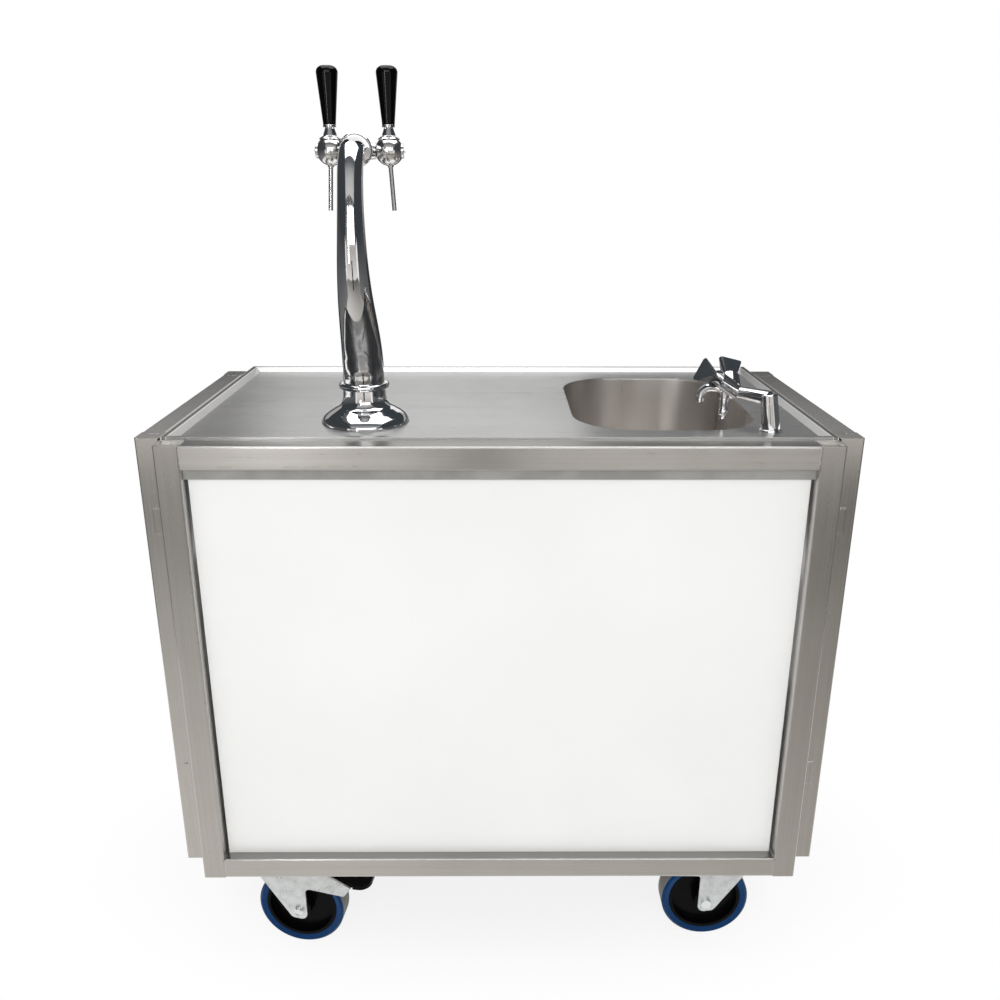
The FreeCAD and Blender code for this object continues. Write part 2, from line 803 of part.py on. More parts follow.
def make_caster_bolts(name, x, y):
    bolts = []
    for number, (bolt_x, bolt_y) in enumerate(bolt_points()):
        body = new_body(f"bolt_{name}_{number}", f"{x} + {bolt_x}", f"{y} + {bolt_y}",
                        "ride_height - plate_thick")
        head = new_sketch(body, "head", "XY")
        outline(head, [(f"bolt_head * {math.cos(math.radians(60 * corner)):.6f}",
                        f"bolt_head * {math.sin(math.radians(60 * corner)):.6f}") for corner in range(6)])
        pad(body, head, "bolt_head_tall", reverse=True)
        shank = new_sketch(body, "shank", "XY")
        circle(shank, "bolt_shank")
        pad(body, shank, "plate_thick + mount_plate_thick + bolt_spare")
        bolts.append(body)
    return bolts


def make_caster(name, x, y, heading, braked):
    """One swivel caster; its own X axis points from the kingpin to the axle."""
    keep(make_fork(name, x, y, heading, braked))
    axle_at = Placement(Vector(size(x), size(y), size(AXLE_RISE)), heading)
    offset = heading.multVec(Vector(1, 0, 0))
    axle_x = f"{x} + trail * {offset.x:.9f}"
    axle_y = f"{y} + trail * {offset.y:.9f}"
    across = axle_at.Rotation.multiply(Rotation(UP, Vector(0, -1, 0)))
    make_wheel(name, axle_x, axle_y, across)
    reach = f"({FORK_WIDTH}) / 2"
    keep(turned(f"axle_{name}", [
        ("0", f"-{reach} - axle_head_tall"), ("axle_head", f"-{reach} - axle_head_tall"),
        ("axle_head", f"-{reach}"), ("axle", f"-{reach}"), ("axle", f"{reach}"),
        ("axle_head", reach), ("axle_head", f"{reach} + axle_head_tall - axle_end_bevel"),
        ("axle", f"{reach} + axle_head_tall"), ("0", f"{reach} + axle_head_tall"),
    ], axle_x, axle_y, AXLE_RISE, across))
    if braked:
        make_pedal(name, axle_x, axle_y, heading)


def make_fork(name, x, y, heading, braked):
    """A pressed fork: two cheeks under a crown, with long arms for the pedal on a braked one."""
    body = new_body(f"fork_{name}", x, y, AXLE_RISE, heading)
    crown = f"({CROWN_TOP}) - ({AXLE_RISE})"
    cheek = [
        ("-fork_nose", crown), ("-fork_throat", "fork_throat_rise"),
        ("trail - axle_pad", "-axle_pad_heel", "axle_pad_round"),
        ("trail + axle_pad", "-axle_pad_toe", "axle_pad_round"),
    ]
    if braked:
        cheek += [
            ("trail + pedal_arm_root", "arm_root_rise", "arm_root_round"),
            ("trail + arm_heel", "arm_heel_rise", "arm_heel_round"),
            ("trail + pedal_arm_tip", "arm_tip_rise"),
            ("trail + arm_shoulder", crown, "arm_shoulder_round"),
        ]
    else:
        cheek += [
            ("trail + pedal_arm_root", "hood_root_rise", "hood_root_round"),
            ("trail + hood_heel", "hood_heel_rise"), ("trail + hood_tip", crown),
        ]
    side = new_sketch(body, "side", "XZ")
    outline(side, cheek)
    pad(body, side, FORK_WIDTH, midplane=True)
    slot = new_sketch(body, "slot", "XZ")
    ahead, behind, below = "-2 * fork_nose", "trail + 2 * hood_tip", "-2 * axle_pad_toe"
    outline(slot, [(ahead, f"{crown} - crown_thick"), (ahead, below), (behind, below),
                   (behind, f"{crown} - crown_thick")])
    pocket(body, slot, "fork_inner", midplane=True)
    round_crown(body, crown)
    bore = new_sketch(body, "bore", "XZ")
    circle(bore, "axle + bearing_gap", "trail")
    pocket(body, bore, f"2 * ({FORK_WIDTH})", midplane=True)
    king = new_sketch(body, "king", "XY", f"{crown} - 2 * crown_thick")
    circle(king, "kingpin + bearing_gap")
    pocket(body, king, "4 * crown_thick", reverse=True)
    if braked:
        pin = new_sketch(body, "pedal_pin", "XZ")
        circle(pin, "pedal_pin", "trail + pedal_x", "pedal_rise")
        pad(body, pin, FORK_WIDTH, midplane=True)
    return body


def round_crown(body, crown):
    """The swivel head: a round boss around the kingpin, wider than the cheeks."""
    boss = new_sketch(body, "boss", "XY", f"{crown} - crown_thick")
    circle(boss, "race_outer - crown_edge")
    pad(body, boss, "crown_thick")


def make_wheel(name, x, y, across):
    """A solid elastic tyre bonded round a plastic wheel centre with a through bore."""
    half_tyre, half_rim, half_hub = "tyre_width / 2", "rim_width / 2", "hub_width / 2"
    seat = "wheel_radius - tyre_band"
    keep(turned(f"tyre_{name}", [
        (seat, f"-{half_tyre} + tyre_bevel"), ("wheel_radius - tyre_shoulder", f"-{half_tyre}"),
        ("wheel_radius", f"-{half_tyre} + tyre_bevel", "tyre_round"),
        ("wheel_radius", f"{half_tyre} - tyre_bevel", "tyre_round"),
        ("wheel_radius - tyre_shoulder", half_tyre), (seat, f"{half_tyre} - tyre_bevel"),
    ], x, y, AXLE_RISE, across))
    lip = f"{seat} - rim_lip"
    keep(turned(f"wheel_{name}", [
        ("axle + bearing_gap", f"-{half_hub}"), ("hub_radius", f"-{half_hub}"),
        ("hub_radius + hub_draft", "-rim_web / 2"), (lip, "-rim_web / 2"), (lip, f"-{half_rim}"),
        (seat, f"-{half_rim}"), (seat, half_rim), (lip, half_rim), (lip, "rim_web / 2"),
        ("hub_radius + hub_draft", "rim_web / 2"), ("hub_radius", half_hub),
        ("axle + bearing_gap", half_hub),
    ], x, y, AXLE_RISE, across))


def make_pedal(name, x, y, heading):
    """The brake pedal: a tongue between the fork's arms that widens to a rounded tread."""
    body = new_body(f"brake_pedal_{name}", x, y, f"{AXLE_RISE} + pedal_rise", heading)
    plan = new_sketch(body, "plan", "XY", "-pedal_thick / 2")
    tongue = "fork_inner / 2 - 2 * running_gap"
    tread = f"({FORK_WIDTH}) / 2"
    shoulder = "pedal_x + tread_start"
    outline(plan, [
        ("pedal_x", f"-({tongue})"), (shoulder, f"-({tongue})"), (shoulder, f"-{tread}"),
        ("pedal_x + pedal_reach", f"-{tread}", "tread_round"),
        ("pedal_x + pedal_reach", tread, "tread_round"),
        (shoulder, tread), (shoulder, tongue), ("pedal_x", tongue),
    ])
    pad(body, plan, "pedal_thick")
    hub = new_sketch(body, "hub", "XZ")
    circle(hub, "pedal_hub", "pedal_x")
    pad(body, hub, f"2 * ({tongue})", midplane=True)
    bore = new_sketch(body, "bore", "XZ")
    circle(bore, "pedal_pin + bearing_gap", "pedal_x")
    pocket(body, bore, f"2 * ({FORK_WIDTH})", midplane=True)
    keep(body)


# ---------------------------------------------------------------- side wings
WING_FOOT = "ride_height + wing_lift"
WING_TALL = "frame_tall - wing_lift"


def make_wings():
    """A tube frame with a panel on each side, hung on barrel hinges behind the front post."""
    fixed = []
    for side, sign in (("left", -1), ("right", 1)):
        centre_x = f"{sign} * (frame_width / 2 + wing_gap + tube / 2)"
        front = f"{FRONT} + wing_front"
        upright = f"{WING_TALL}"
        tubes = [
            bar(f"wing_upright_front_{side}", upright, centre_x, f"{front} + tube / 2", WING_FOOT, UP,
                "cap_plate"),
            bar(f"wing_upright_rear_{side}", upright, centre_x, f"{front} + wing_length - tube / 2",
                WING_FOOT, UP, "cap_plate"),
            bar(f"wing_rail_top_{side}", "wing_length - 2 * tube", centre_x, f"{front} + tube",
                f"{FRAME_TOP} - tube / 2", BACK),
            bar(f"wing_rail_bottom_{side}", "wing_length - 2 * tube", centre_x, f"{front} + tube",
                f"{WING_FOOT} + tube / 2", BACK),
        ]
        panel_x = f"{sign} * (frame_width / 2 + wing_gap + tube - wing_panel_set_back - wing_panel_thick / 2)"
        keep(block(f"wing_panel_{side}", "wing_panel_thick", "wing_length - 2 * tube",
                   f"{WING_TALL} - 2 * tube", panel_x, f"{front} + wing_length / 2",
                   f"{WING_FOOT} + tube"))
        hinge_x = f"{sign} * (frame_width / 2 + hinge_out)"
        hinge_y = f"{FRONT} + hinge_back"
        lowest = f"{WING_FOOT} + hinge_inset"
        highest = f"{FRAME_TOP} - hinge_inset - 2 * knuckle_tall"
        for level, foot in (("low", lowest), ("high", highest)):
            fixed.append(make_fixed_knuckle(f"hinge_fixed_{side}_{level}", sign, hinge_x, hinge_y, foot))
            tubes.append(make_moving_knuckle(f"hinge_moving_{side}_{level}", sign, hinge_x, hinge_y,
                                             f"{foot} + knuckle_tall + running_gap"))
        group(f"wing_frame_{side}", tubes)
    group("wing_hinges", fixed)


def make_fixed_knuckle(label, sign, x, y, z):
    """The lower barrel with its pin, on a leaf that lies against the post."""
    body = new_body(label, x, y, z)
    barrel = new_sketch(body, "barrel", "XY")
    circle(barrel, "knuckle")
    pad(body, barrel, "knuckle_tall")
    leaf = new_sketch(body, "leaf", "XY")
    post_face = "tube - hinge_back"
    outline(leaf, in_order(sign, [
        ("0", post_face), (f"{-sign} * hinge_leaf_long", post_face),
        (f"{-sign} * hinge_leaf_long", f"{post_face} + hinge_leaf"), ("0", f"{post_face} + hinge_leaf"),
    ]))
    pad(body, leaf, "knuckle_tall")
    pin = new_sketch(body, "pin", "XY")
    circle(pin, "hinge_pin")
    pad(body, pin, "2 * knuckle_tall")
    return body


def make_moving_knuckle(label, sign, x, y, z):
    """The upper barrel, on a leaf that lies against the wing's front end."""
    body = new_body(label, x, y, z)
    barrel = new_sketch(body, "barrel", "XY")
    circle(barrel, "knuckle")
    pad(body, barrel, "knuckle_tall")
    leaf = new_sketch(body, "leaf", "XY")
    wing_face = "wing_front - hinge_back"
    outline(leaf, in_order(-sign, [
        ("0", f"{wing_face} - hinge_leaf"), (f"{sign} * hinge_leaf_long", f"{wing_face} - hinge_leaf"),
        (f"{sign} * hinge_leaf_long", wing_face), ("0", wing_face),
    ]))
    pad(body, leaf, "knuckle_tall")
    bore = new_sketch(body, "bore", "XY")
    circle(bore, "hinge_pin + bearing_gap")
    pocket(body, bore, "knuckle_tall", reverse=True)
    return body


def in_order(sign, corners):
    """The same corners, counted the same way round on either side."""
    return corners if sign < 0 else corners[::-1]


# ---------------------------------------------------------------- beer tower
def make_tower():
    """Flange, collar, swan-neck column and the clamp under the countertop."""
    keep(turned("tower_flange", [
        ("bore_radius", "-tail_long"), ("tail_radius", "-tail_long"), ("tail_radius", "0"),
        ("flange_radius", "0"), ("flange_radius", "flange_edge", "2"),
        ("flange_radius - 5", "flange_dome - 4", "16"), ("flange_step + 5", "flange_dome", "1.5"),
        ("flange_step", "flange_dome + 3", "1.5"), ("collar_radius - 2.5", "flange_dome + 7", "12"),
        ("collar_radius - 4", "flange_tall"),
        ("bore_radius", "flange_tall"),
    ], "tower_x", "tower_y", COUNTER))
    keep(turned("tower_collar", [
        ("bore_radius", "0"), ("collar_radius - collar_edge", "0"),
        ("collar_radius", "collar_edge", "collar_round"),
        ("collar_radius", "collar_tall - collar_edge", "collar_round"), ("column_radius + 1", "collar_tall"),
        ("bore_radius", "collar_tall"),
    ], "tower_x", "tower_y", f"{COUNTER} + flange_tall"))
    make_column()
    keep(turned("tower_clamp", [
        ("tail_radius + bearing_gap", "-clamp_thick"), ("clamp_radius - clamp_bevel", "-clamp_thick"),
        ("clamp_radius", "-clamp_thick + clamp_bevel"), ("clamp_radius", "0"),
        ("tail_radius + bearing_gap", "0"),
    ], "tower_x", "tower_y", SHEET_FOOT))


def neck_path():
    """Points and headings along the neck in its own upright plane, from the collar to the head.

    The neck rises straight, leans towards the guest, comes upright again, and bends over
    towards the barkeeper. Each stretch is a straight run or an arc, cut into even steps.
    """
    stretches = [
        ("run", size("column_straight"), 0), ("arc", size("lean_radius"), -size("lean_angle")),
        ("run", size("lean_run"), 0), ("arc", size("rise_radius"), size("lean_angle")),
        ("arc", size("brow_radius"), size("brow_angle")),
        ("arc", size("crook_radius"), 90 - size("brow_angle")), ("run", size("crook_run"), 0),
    ]
    along, high, heading, travelled = 0.0, 0.0, 0.0, 0.0
    stations = [(along, high, heading, travelled)]
    for kind, amount, turn in stretches:
        length = amount if kind == "run" else amount * math.radians(abs(turn))
        steps = max(1, round(length / 26))
        for _ in range(steps):
            middle = math.radians(heading + turn / steps / 2)
            half_turn = math.radians(abs(turn) / steps / 2)
            chord = length / steps if kind == "run" else 2 * amount * math.sin(half_turn)
            along += chord * math.sin(middle)
            high += chord * math.cos(middle)
            heading += turn / steps
            travelled += length / steps
            stations.append((along, high, heading, travelled))
    return stations


def neck_radius(travelled):
    """The neck's radius, eased from the foot's to the tip's between two points of the path."""
    start, end = size("taper_start"), size("taper_end")
    share = min(1, max(0, (travelled - start) / (end - start)))
    eased = share * share * (3 - 2 * share)
    return size("column_radius") + (size("column_tip") - size("column_radius")) * eased


def make_column():
    """The tapered swan neck: a skin over rounds set square to the bent centre line."""
    rounds = []
    for along, high, heading, travelled in neck_path():
        angle = math.radians(heading)
        direction = Vector(0, math.sin(angle), math.cos(angle))
        ring = Part.makeCircle(neck_radius(travelled), Vector(0, along, high), direction)
        rounds.append(Part.Wire([ring]))
    skin = Part.makeLoft(rounds, True, False)
    bore = Part.makeCylinder(size("bore_radius"), size("bore_deep"))
    column_foot = f"{COUNTER} + flange_tall + collar_tall"
    at = Placement(Vector(size("tower_x"), size("tower_y"), size(column_foot)), Rotation())
    keep(shaped("tower_column", skin.cut(bore), at))


def head_centre():
    """Where the neck ends: offset along Y from the tower's axis, and height."""
    along, high = neck_path()[-1][:2]
    return size("tower_y") + along, size(f"{COUNTER} + flange_tall + collar_tall") + high


def tap_centre():
    """The tap balls' common Y and Z."""
    end_y, end_z = head_centre()
    return end_y + size("head_ring_long + head_reach"), end_z


def make_head():
    """The head turned on the neck's end, with a cone-ended arm out to each tap."""
    end_y, end_z = head_centre()
    tap_y, tap_z = tap_centre()
    body = new_body("tap_head", "tower_x", "0", "0", Rotation(UP, BACK))
    body.setExpression("Placement.Base.y", None)
    body.setExpression("Placement.Base.z", None)
    body.Placement.Base = Vector(size("tower_x"), end_y, end_z)
    profile = new_sketch(body, "profile", "XZ")
    outline(profile, [
        ("0", "0"), ("head_ring - head_ring_edge", "0"), ("head_ring", "head_ring_edge", "head_ring_round"),
        ("head_ring", "head_ring_long - head_ring_edge", "head_ring_round"),
        ("head_ring - head_ring_edge", "head_ring_long"), ("head_radius", "head_ring_long"),
        ("head_radius", "head_ring_long + head_long - head_nose_long", "head_nose_round"),
        ("head_radius - head_nose", "head_ring_long + head_long", "head_nose_round"),
        ("0", "head_ring_long + head_long"),
    ])
    revolve(body, profile)
    arms = []
    for side, sign in (("left", -1), ("right", 1)):
        cone = doc.addObject("Part::Cone", f"head_arm_{side}")
        bind(cone, "Radius1", "arm_root")
        bind(cone, "Radius2", "arm_tip")
        bind(cone, "Height", "tap_span - ball + 2")
        place(cone, "tower_x", "0", "0", Rotation(UP, Vector(sign, 0, 0)))
        cone.setExpression("Placement.Base.y", None)
        cone.setExpression("Placement.Base.z", None)
        cone.Placement.Base = Vector(size("tower_x"), tap_y, tap_z)
        seat = Part.makeSphere(size("ball"), Vector(size(f"tower_x + {sign} * tap_span"), tap_y, tap_z))
        arms.append((cone, seat))
    union = doc.addObject("Part::MultiFuse", "head_union")
    union.Shapes = [body] + [cone for cone, _ in arms]
    seats = doc.addObject("Part::Feature", "head_seats")
    seats.Shape = Part.makeCompound([seat for _, seat in arms])
    keep(less("tap_head_bar", union, seats))


def make_taps():
    """Ball taps with their spouts and side caps, and a hooded lever on each."""
    tap_y, tap_z = tap_centre()
    balls, spouts, caps = [], [], []
    for side, sign in (("left", -1), ("right", 1)):
        centre = Vector(size(f"tower_x + {sign} * tap_span"), tap_y, tap_z)
        splay = Rotation(DOWN, Vector(sign * math.tan(math.radians(size("spout_splay"))), 0, -1))
        down = Rotation(UP, DOWN)
        outlet = Placement(centre, splay.multiply(down))
        balls.append(make_ball(f"tap_ball_{side}", centre, outlet))
        spouts.append(make_spout(f"tap_spout_{side}", outlet))
        caps.append(make_cap(f"tap_cap_{side}", centre, sign))
        make_lever(side, centre)
    group("tap_balls", balls)
    group("tap_spouts", spouts)
    group("tap_side_caps", caps)


def make_ball(label, centre, outlet):
    """The valve body: a ball with an outlet boss, bored for the spout."""
    ball = Part.makeSphere(size("ball"))
    boss = Part.makeCone(size("spout_boss + spout_boss_draft"), size("spout_boss"),
                         size("ball + spout_boss_rise"))
    bore = Part.makeCylinder(size("spout + bearing_gap"), size("ball"), UP * size("ball - spout_seat"))
    turn = Placement(Vector(), outlet.Rotation)
    shape = ball.fuse(boss.transformed(turn.Matrix)).cut(bore.transformed(turn.Matrix))
    return shaped(label, shape.removeSplitter(), Placement(centre, Rotation()))


def make_spout(label, outlet):
    """A thin straight beer spout, open at its tip."""
    start = size("ball - spout_seat")
    shape = Part.makeCylinder(size("spout"), size("spout_long"), Vector(0, 0, start))
    shape = shape.cut(Part.makeCylinder(size("spout_bore"), size("spout_long"), Vector(0, 0, start)))
    return shaped(label, shape, outlet)


def make_cap(label, centre, sign):
    """The screw cap on the tap's outer side, with a small nub in its middle."""
    shape = Part.makeCylinder(size("cap_disc"), size("cap_thick"))
    shape = shape.fuse(Part.makeCone(size("cap_nub"), size("cap_nub - 1"), size("cap_thick + cap_nub_tall")))
    shape = shape.makeFillet(size("cap_edge"), [edge for edge in shape.Edges
                                   if abs(edge.Length - 2 * math.pi * size("cap_disc")) < 0.01
                                   and edge.BoundBox.ZMin > 1])
    depth = math.sqrt(size("ball") ** 2 - size("cap_disc") ** 2)
    outward = Rotation(UP, Vector(sign, 0, 0))
    at = Placement(centre + Vector(sign * (depth + 0.05), 0, 0), outward)
    ball = Part.makeSphere(size("ball"), Vector(0, 0, -(depth + 0.05)))
    return shaped(label, shape.cut(ball), at)


def make_lever(side, centre):
    """A hood that wraps the ball's crown and turns about it, its stem, and the grip."""
    inner = size("ball + hood_gap")
    outer = inner + size("hood")
    stem_top = outer + size("stem_long")
    shell = Part.makeSphere(outer).cut(Part.makeSphere(inner))
    reach = 2 * outer
    spread = Part.makeCone(0, reach * math.tan(math.radians(size("hood_angle"))), reach)
    stem_foot = math.sqrt(outer ** 2 - size("stem_root") ** 2)
    neck_top = stem_top - size("ferrule_tall")
    stem = Part.makeCone(size("stem_root"), size("stem_neck"), neck_top - stem_foot, UP * stem_foot)
    plug = Part.makeCylinder(size("stem_root"), stem_foot - inner + size("hood"), UP * (inner - size("hood")))
    ferrule = Part.makeCylinder(size("ferrule"), size("ferrule_tall"), UP * neck_top)
    hood = shell.common(spread).fuse([stem, plug, ferrule]).cut(Part.makeSphere(inner))
    keep(shaped(f"lever_hood_{side}", hood.removeSplitter(), Placement(centre, Rotation())))
    grip = turned(f"lever_grip_{side}", [
        ("0", "0"), ("grip_foot", "0"), ("grip_top", "grip_long - grip_round / 2", "grip_round"),
        ("grip_top - grip_crown", "grip_long", "grip_crown_round"), ("0", "grip_long"),
    ])
    for axis in "xyz":
        grip.setExpression(f"Placement.Base.{axis}", None)
    grip.Placement.Base = centre + UP * stem_top
    keep(grip)


# ---------------------------------------------------------------- sink mixer
def pillar_heading():
    """The pillar's axis: it leans the way the arm points."""
    lean, turn = math.radians(size("pillar_lean")), math.radians(size("arm_angle"))
    return Vector(math.sin(lean) * math.cos(turn), math.sin(lean) * math.sin(turn), math.cos(lean))


def pillar_top():
    """Where the arm's swivel seat sits, at the pillar's upper end."""
    foot = Vector(size(MIXER_X), size(MIXER_Y), size(f"{COUNTER} + stub_flange_tall"))
    return foot + pillar_heading() * size("stub_tall - stub_flange_tall")


def valve_headings():
    """Which way each valve points: one towards the guest, one to the rear, both rising."""
    return {"front": Vector(-0.73, -0.46, 0.50).normalize(), "rear": Vector(0.08, 0.83, 0.55).normalize()}


def valve_seats(centre):
    """Where each valve's knob sits: at the barrel's upper end, and on the rear valve body."""
    ways = valve_headings()
    branch = centre - ways["front"] * size("valve_rear_offset")
    return {"front": centre + ways["front"] * size("valve_front_reach"),
            "rear": branch + ways["rear"] * size("valve_rear_reach")}


def make_mixer():
    """A leaning pillar with a swinging arm that carries the barrel, its two valves and the spout."""
    make_pillar()
    keep(turned("mixer_nut", [
        ("stub_tail + bearing_gap", "-stub_nut_tall"), ("stub_flange", "-stub_nut_tall"),
        ("stub_flange", "0"), ("stub_tail + bearing_gap", "0"),
    ], MIXER_X, MIXER_Y, SHEET_FOOT))
    turn = math.radians(size("arm_angle"))
    forward = Vector(math.cos(turn), math.sin(turn), 0)
    cap_tall = size("spigot_tall + spigot_cover")
    centre = forward * size("arm_long") + UP * (cap_tall / 2 + size("arm_rise"))
    make_mixer_body(forward, cap_tall, centre)
    make_nozzle(pillar_top() + centre - UP * size("barrel - nozzle_seat"))
    ways, seats = valve_headings(), valve_seats(centre)
    for name, corner_up in (("front", 1), ("rear", -1)):
        seat = pillar_top() + seats[name] + ways[name] * size("knob_gap")
        make_knob(name, ways[name], seat, corner_up, size(f"{name}_knob_roll"))


def make_pillar():
    """The pillar: flat flange, threaded tail through the countertop, leaning cone and swivel spigot."""
    base = Part.makeCylinder(size("stub_flange"), size("stub_flange_tall"))
    upper_rim = [edge for edge in base.Edges if edge.BoundBox.ZMin > size("stub_flange_tall") - 0.01]
    base = base.makeFillet(size("stub_flange_tall") / 2, upper_rim)
    tail = Part.makeCylinder(size("stub_tail"), size("stub_tail_long"), Vector(), DOWN)
    seat = UP * size("stub_flange_tall")
    heading = pillar_heading()
    long = size("stub_tall - stub_flange_tall")
    root = Part.makeSphere(size("stub_foot"), seat, UP, 0, 90)
    cone = Part.makeCone(size("stub_foot"), size("stub_top"), long, seat, heading)
    spigot = Part.makeCylinder(size("spigot"), long + size("spigot_tall"), seat, heading)
    below = Part.makeCylinder(size("stub_flange"), size("stub_flange"), Vector(), DOWN)
    upright = cone.fuse([root, spigot]).cut(below)
    at = Placement(Vector(size(MIXER_X), size(MIXER_Y), size(COUNTER)), Rotation())
    keep(shaped("mixer_pillar", upright.fuse([base, tail]).removeSplitter(), at))


def make_mixer_body(forward, cap_tall, centre):
    """Swivel cap, arm, mixing barrel, both valve bodies and the spout, cast in one."""
    heading = pillar_heading()
    cap = rounded_cylinder(size("stub_top"), cap_tall, size("cap_round"))
    cap.Placement = Placement(Vector(), Rotation(UP, heading))
    ways, seats = valve_headings(), valve_seats(centre)
    start = heading * (cap_tall / 2)
    run = seats["front"] - ways["front"] * size("barrel_long") - start
    arm = Part.makeCone(size("mixer_arm_root"), size("mixer_arm_tip"), run.Length, start, run)
    barrel = rounded_cylinder(size("barrel"), size("barrel_long"), size("cap_round"))
    barrel.Placement = Placement(seats["front"], Rotation(DOWN, ways["front"]))
    rear_valve = Part.makeCylinder(size("valve_body"), size("valve_rear_reach"), seats["rear"],
                                   -ways["rear"])
    necks = [Part.makeCylinder(size("valve_neck"), size("valve_neck_long"), seats[name], way)
             for name, way in ways.items()]
    stub_start = centre - UP * size("barrel - nozzle_seat")
    stub_long = size("nozzle_seat + nozzle_stub")
    stub = Part.makeCylinder(size("nozzle - nozzle_taper"), stub_long, stub_start, DOWN)
    spout = make_mixer_spout(centre - UP * size("spout_sink"), forward)
    shape = cap.fuse([arm, barrel, rear_valve, stub, spout] + necks)
    hollow = Part.makeCylinder(size("spigot + bearing_gap"), size("spigot_tall + bearing_gap"),
                               Vector(), heading)
    below = Part.makeCylinder(size("swing_clear"), size("swing_clear"), Vector(), -heading)
    shape = shape.cut([hollow, below])
    keep(shaped("mixer_body", shape.removeSplitter(), Placement(pillar_top(), Rotation())))


def rounded_cylinder(radius, tall, rounding):
    """A cylinder standing on the origin, with its upper edge rounded."""
    cylinder = Part.makeCylinder(radius, tall)
    rims = [edge for edge in cylinder.Edges if edge.BoundBox.ZMin > tall - 0.01]
    return cylinder.makeFillet(rounding, rims)


def make_mixer_spout(start, forward):
    """A bent tube that runs on from the barrel and turns down over the bowl, open at its tip."""
    reach, drop = size("mixer_spout_reach"), size("mixer_spout_drop")
    bend = size("mixer_spout_bend")
    half = math.radians(45)
    level_end = start + forward * (reach - bend)
    middle = level_end + forward * bend * math.sin(half) + DOWN * bend * (1 - math.cos(half))
    low_start = start + forward * reach + DOWN * bend
    end = start + forward * reach + DOWN * drop
    path = Part.Wire([Part.LineSegment(start, level_end).toShape(),
                      Part.Arc(level_end, middle, low_start).toShape(),
                      Part.LineSegment(low_start, end).toShape()])
    skin = Part.Wire([Part.makeCircle(size("mixer_spout"), start, forward)])
    mouth = Part.makeCylinder(size("mixer_spout_bore"), drop - bend, end, UP)
    return path.makePipeShell([skin], True, False).cut(mouth)


def make_nozzle(top):
    """The slim outlet below the barrel, with a bead near its tip."""
    stub = size("nozzle_seat + nozzle_stub")
    cone_long, bead_at, long = size("nozzle_cone_long"), size("nozzle_bead_at"), size("nozzle_long")
    slim = size("nozzle - nozzle_taper")
    cone = Part.makeCone(size("nozzle"), slim, cone_long, DOWN * stub, DOWN)
    bead = Part.makeSphere(size("nozzle"), DOWN * (stub + bead_at))
    tip = Part.makeCylinder(slim, long - bead_at, DOWN * (stub + bead_at), DOWN)
    keep(shaped("mixer_nozzle", cone.fuse([bead, tip]), Placement(top, Rotation())))


def three_sided(radius, level):
    """A triangle with rounded corners, drawn square to Z."""
    corners = [Vector(radius * math.cos(math.radians(90 + 120 * k)),
                      radius * math.sin(math.radians(90 + 120 * k)), level) for k in range(3)]
    face = Part.Face(Part.makePolygon(corners + corners[:1]))
    rounding = radius * size("knob_rounding")
    return face.makeOffset2D(-rounding).makeOffset2D(rounding).OuterWire


def make_knob(name, way, seat, corner_up, roll):
    """A three-sided knob that flares outwards, one corner up or down but rolled, bored for its neck."""
    ends = [three_sided(size("knob_foot"), 0), three_sided(size("knob_top"), size("knob_long"))]
    flare = Part.makeLoft(ends, True, True)
    bore = Part.makeCylinder(size("valve_neck + bearing_gap"), size("valve_neck_long"))
    corner = Rotation(way, roll).multVec((UP - way * way.dot(UP)).normalize() * corner_up)
    turn = Rotation(corner.cross(way), corner, way, "ZYX")
    keep(shaped(f"mixer_knob_{name}", flare.cut(bore), Placement(seat, turn)))


# ---------------------------------------------------------------- ice cooler
SHELF_TOP = "ride_height + tube + shelf_thick"
TUB_Y = "-frame_depth / 2 + tub_front + tub_long / 2"


def make_cooler():
    """An insulated ice tub with a fixed deck in front and a hinged lid behind it."""
    body = new_body("cooler_tub", "tub_x", TUB_Y, SHELF_TOP)
    plan = new_sketch(body, "plan", "XY")
    rectangle(plan, "tub_wide", "tub_long", radius="tub_corner")
    pad(body, plan, "tub_tall")
    mouth = new_sketch(body, "mouth", "XY", "tub_wall")
    inner_long = "tub_long - deck_long - tub_wall"
    rectangle(mouth, "tub_wide - 2 * tub_wall", inner_long, "0",
              f"-tub_long / 2 + deck_long + ({inner_long}) / 2", "tub_corner / 2")
    pocket(body, mouth, "tub_tall", reverse=True)
    under = new_sketch(body, "under_deck", "XY", "tub_wall")
    rectangle(under, "tub_wide - 2 * tub_wall", "tub_long - 2 * tub_wall", radius="tub_corner / 2")
    pocket(body, under, "tub_tall - 2 * tub_wall", reverse=True)
    for number, sign in enumerate((-1, 1)):
        hole = new_sketch(body, f"line_{number}", "XY", "tub_tall - 2 * tub_wall")
        circle(hole, "line_radius + running_gap", f"tower_x - tub_x + {sign} * line_span / 2",
               f"tower_y - ({TUB_Y})")
        pocket(body, hole, "4 * tub_wall", reverse=True)
        inlet = new_sketch(body, f"inlet_{number}", "XZ", "-tub_long / 2 - tub_wall")
        circle(inlet, "line_radius + running_gap", f"{sign} * spigot_span / 2", "tub_wall + plate_tall / 2")
        pocket(body, inlet, "4 * tub_wall", midplane=True)
        make_lug(body, "left" if sign < 0 else "right", sign)
    keep(body)
    make_lid()
    make_cold_plate()


LID_Y = f"{TUB_Y} - tub_long / 2 + deck_long + lid_gap"
LID_Z = f"{SHELF_TOP} + tub_tall + running_gap + lid_knuckle"


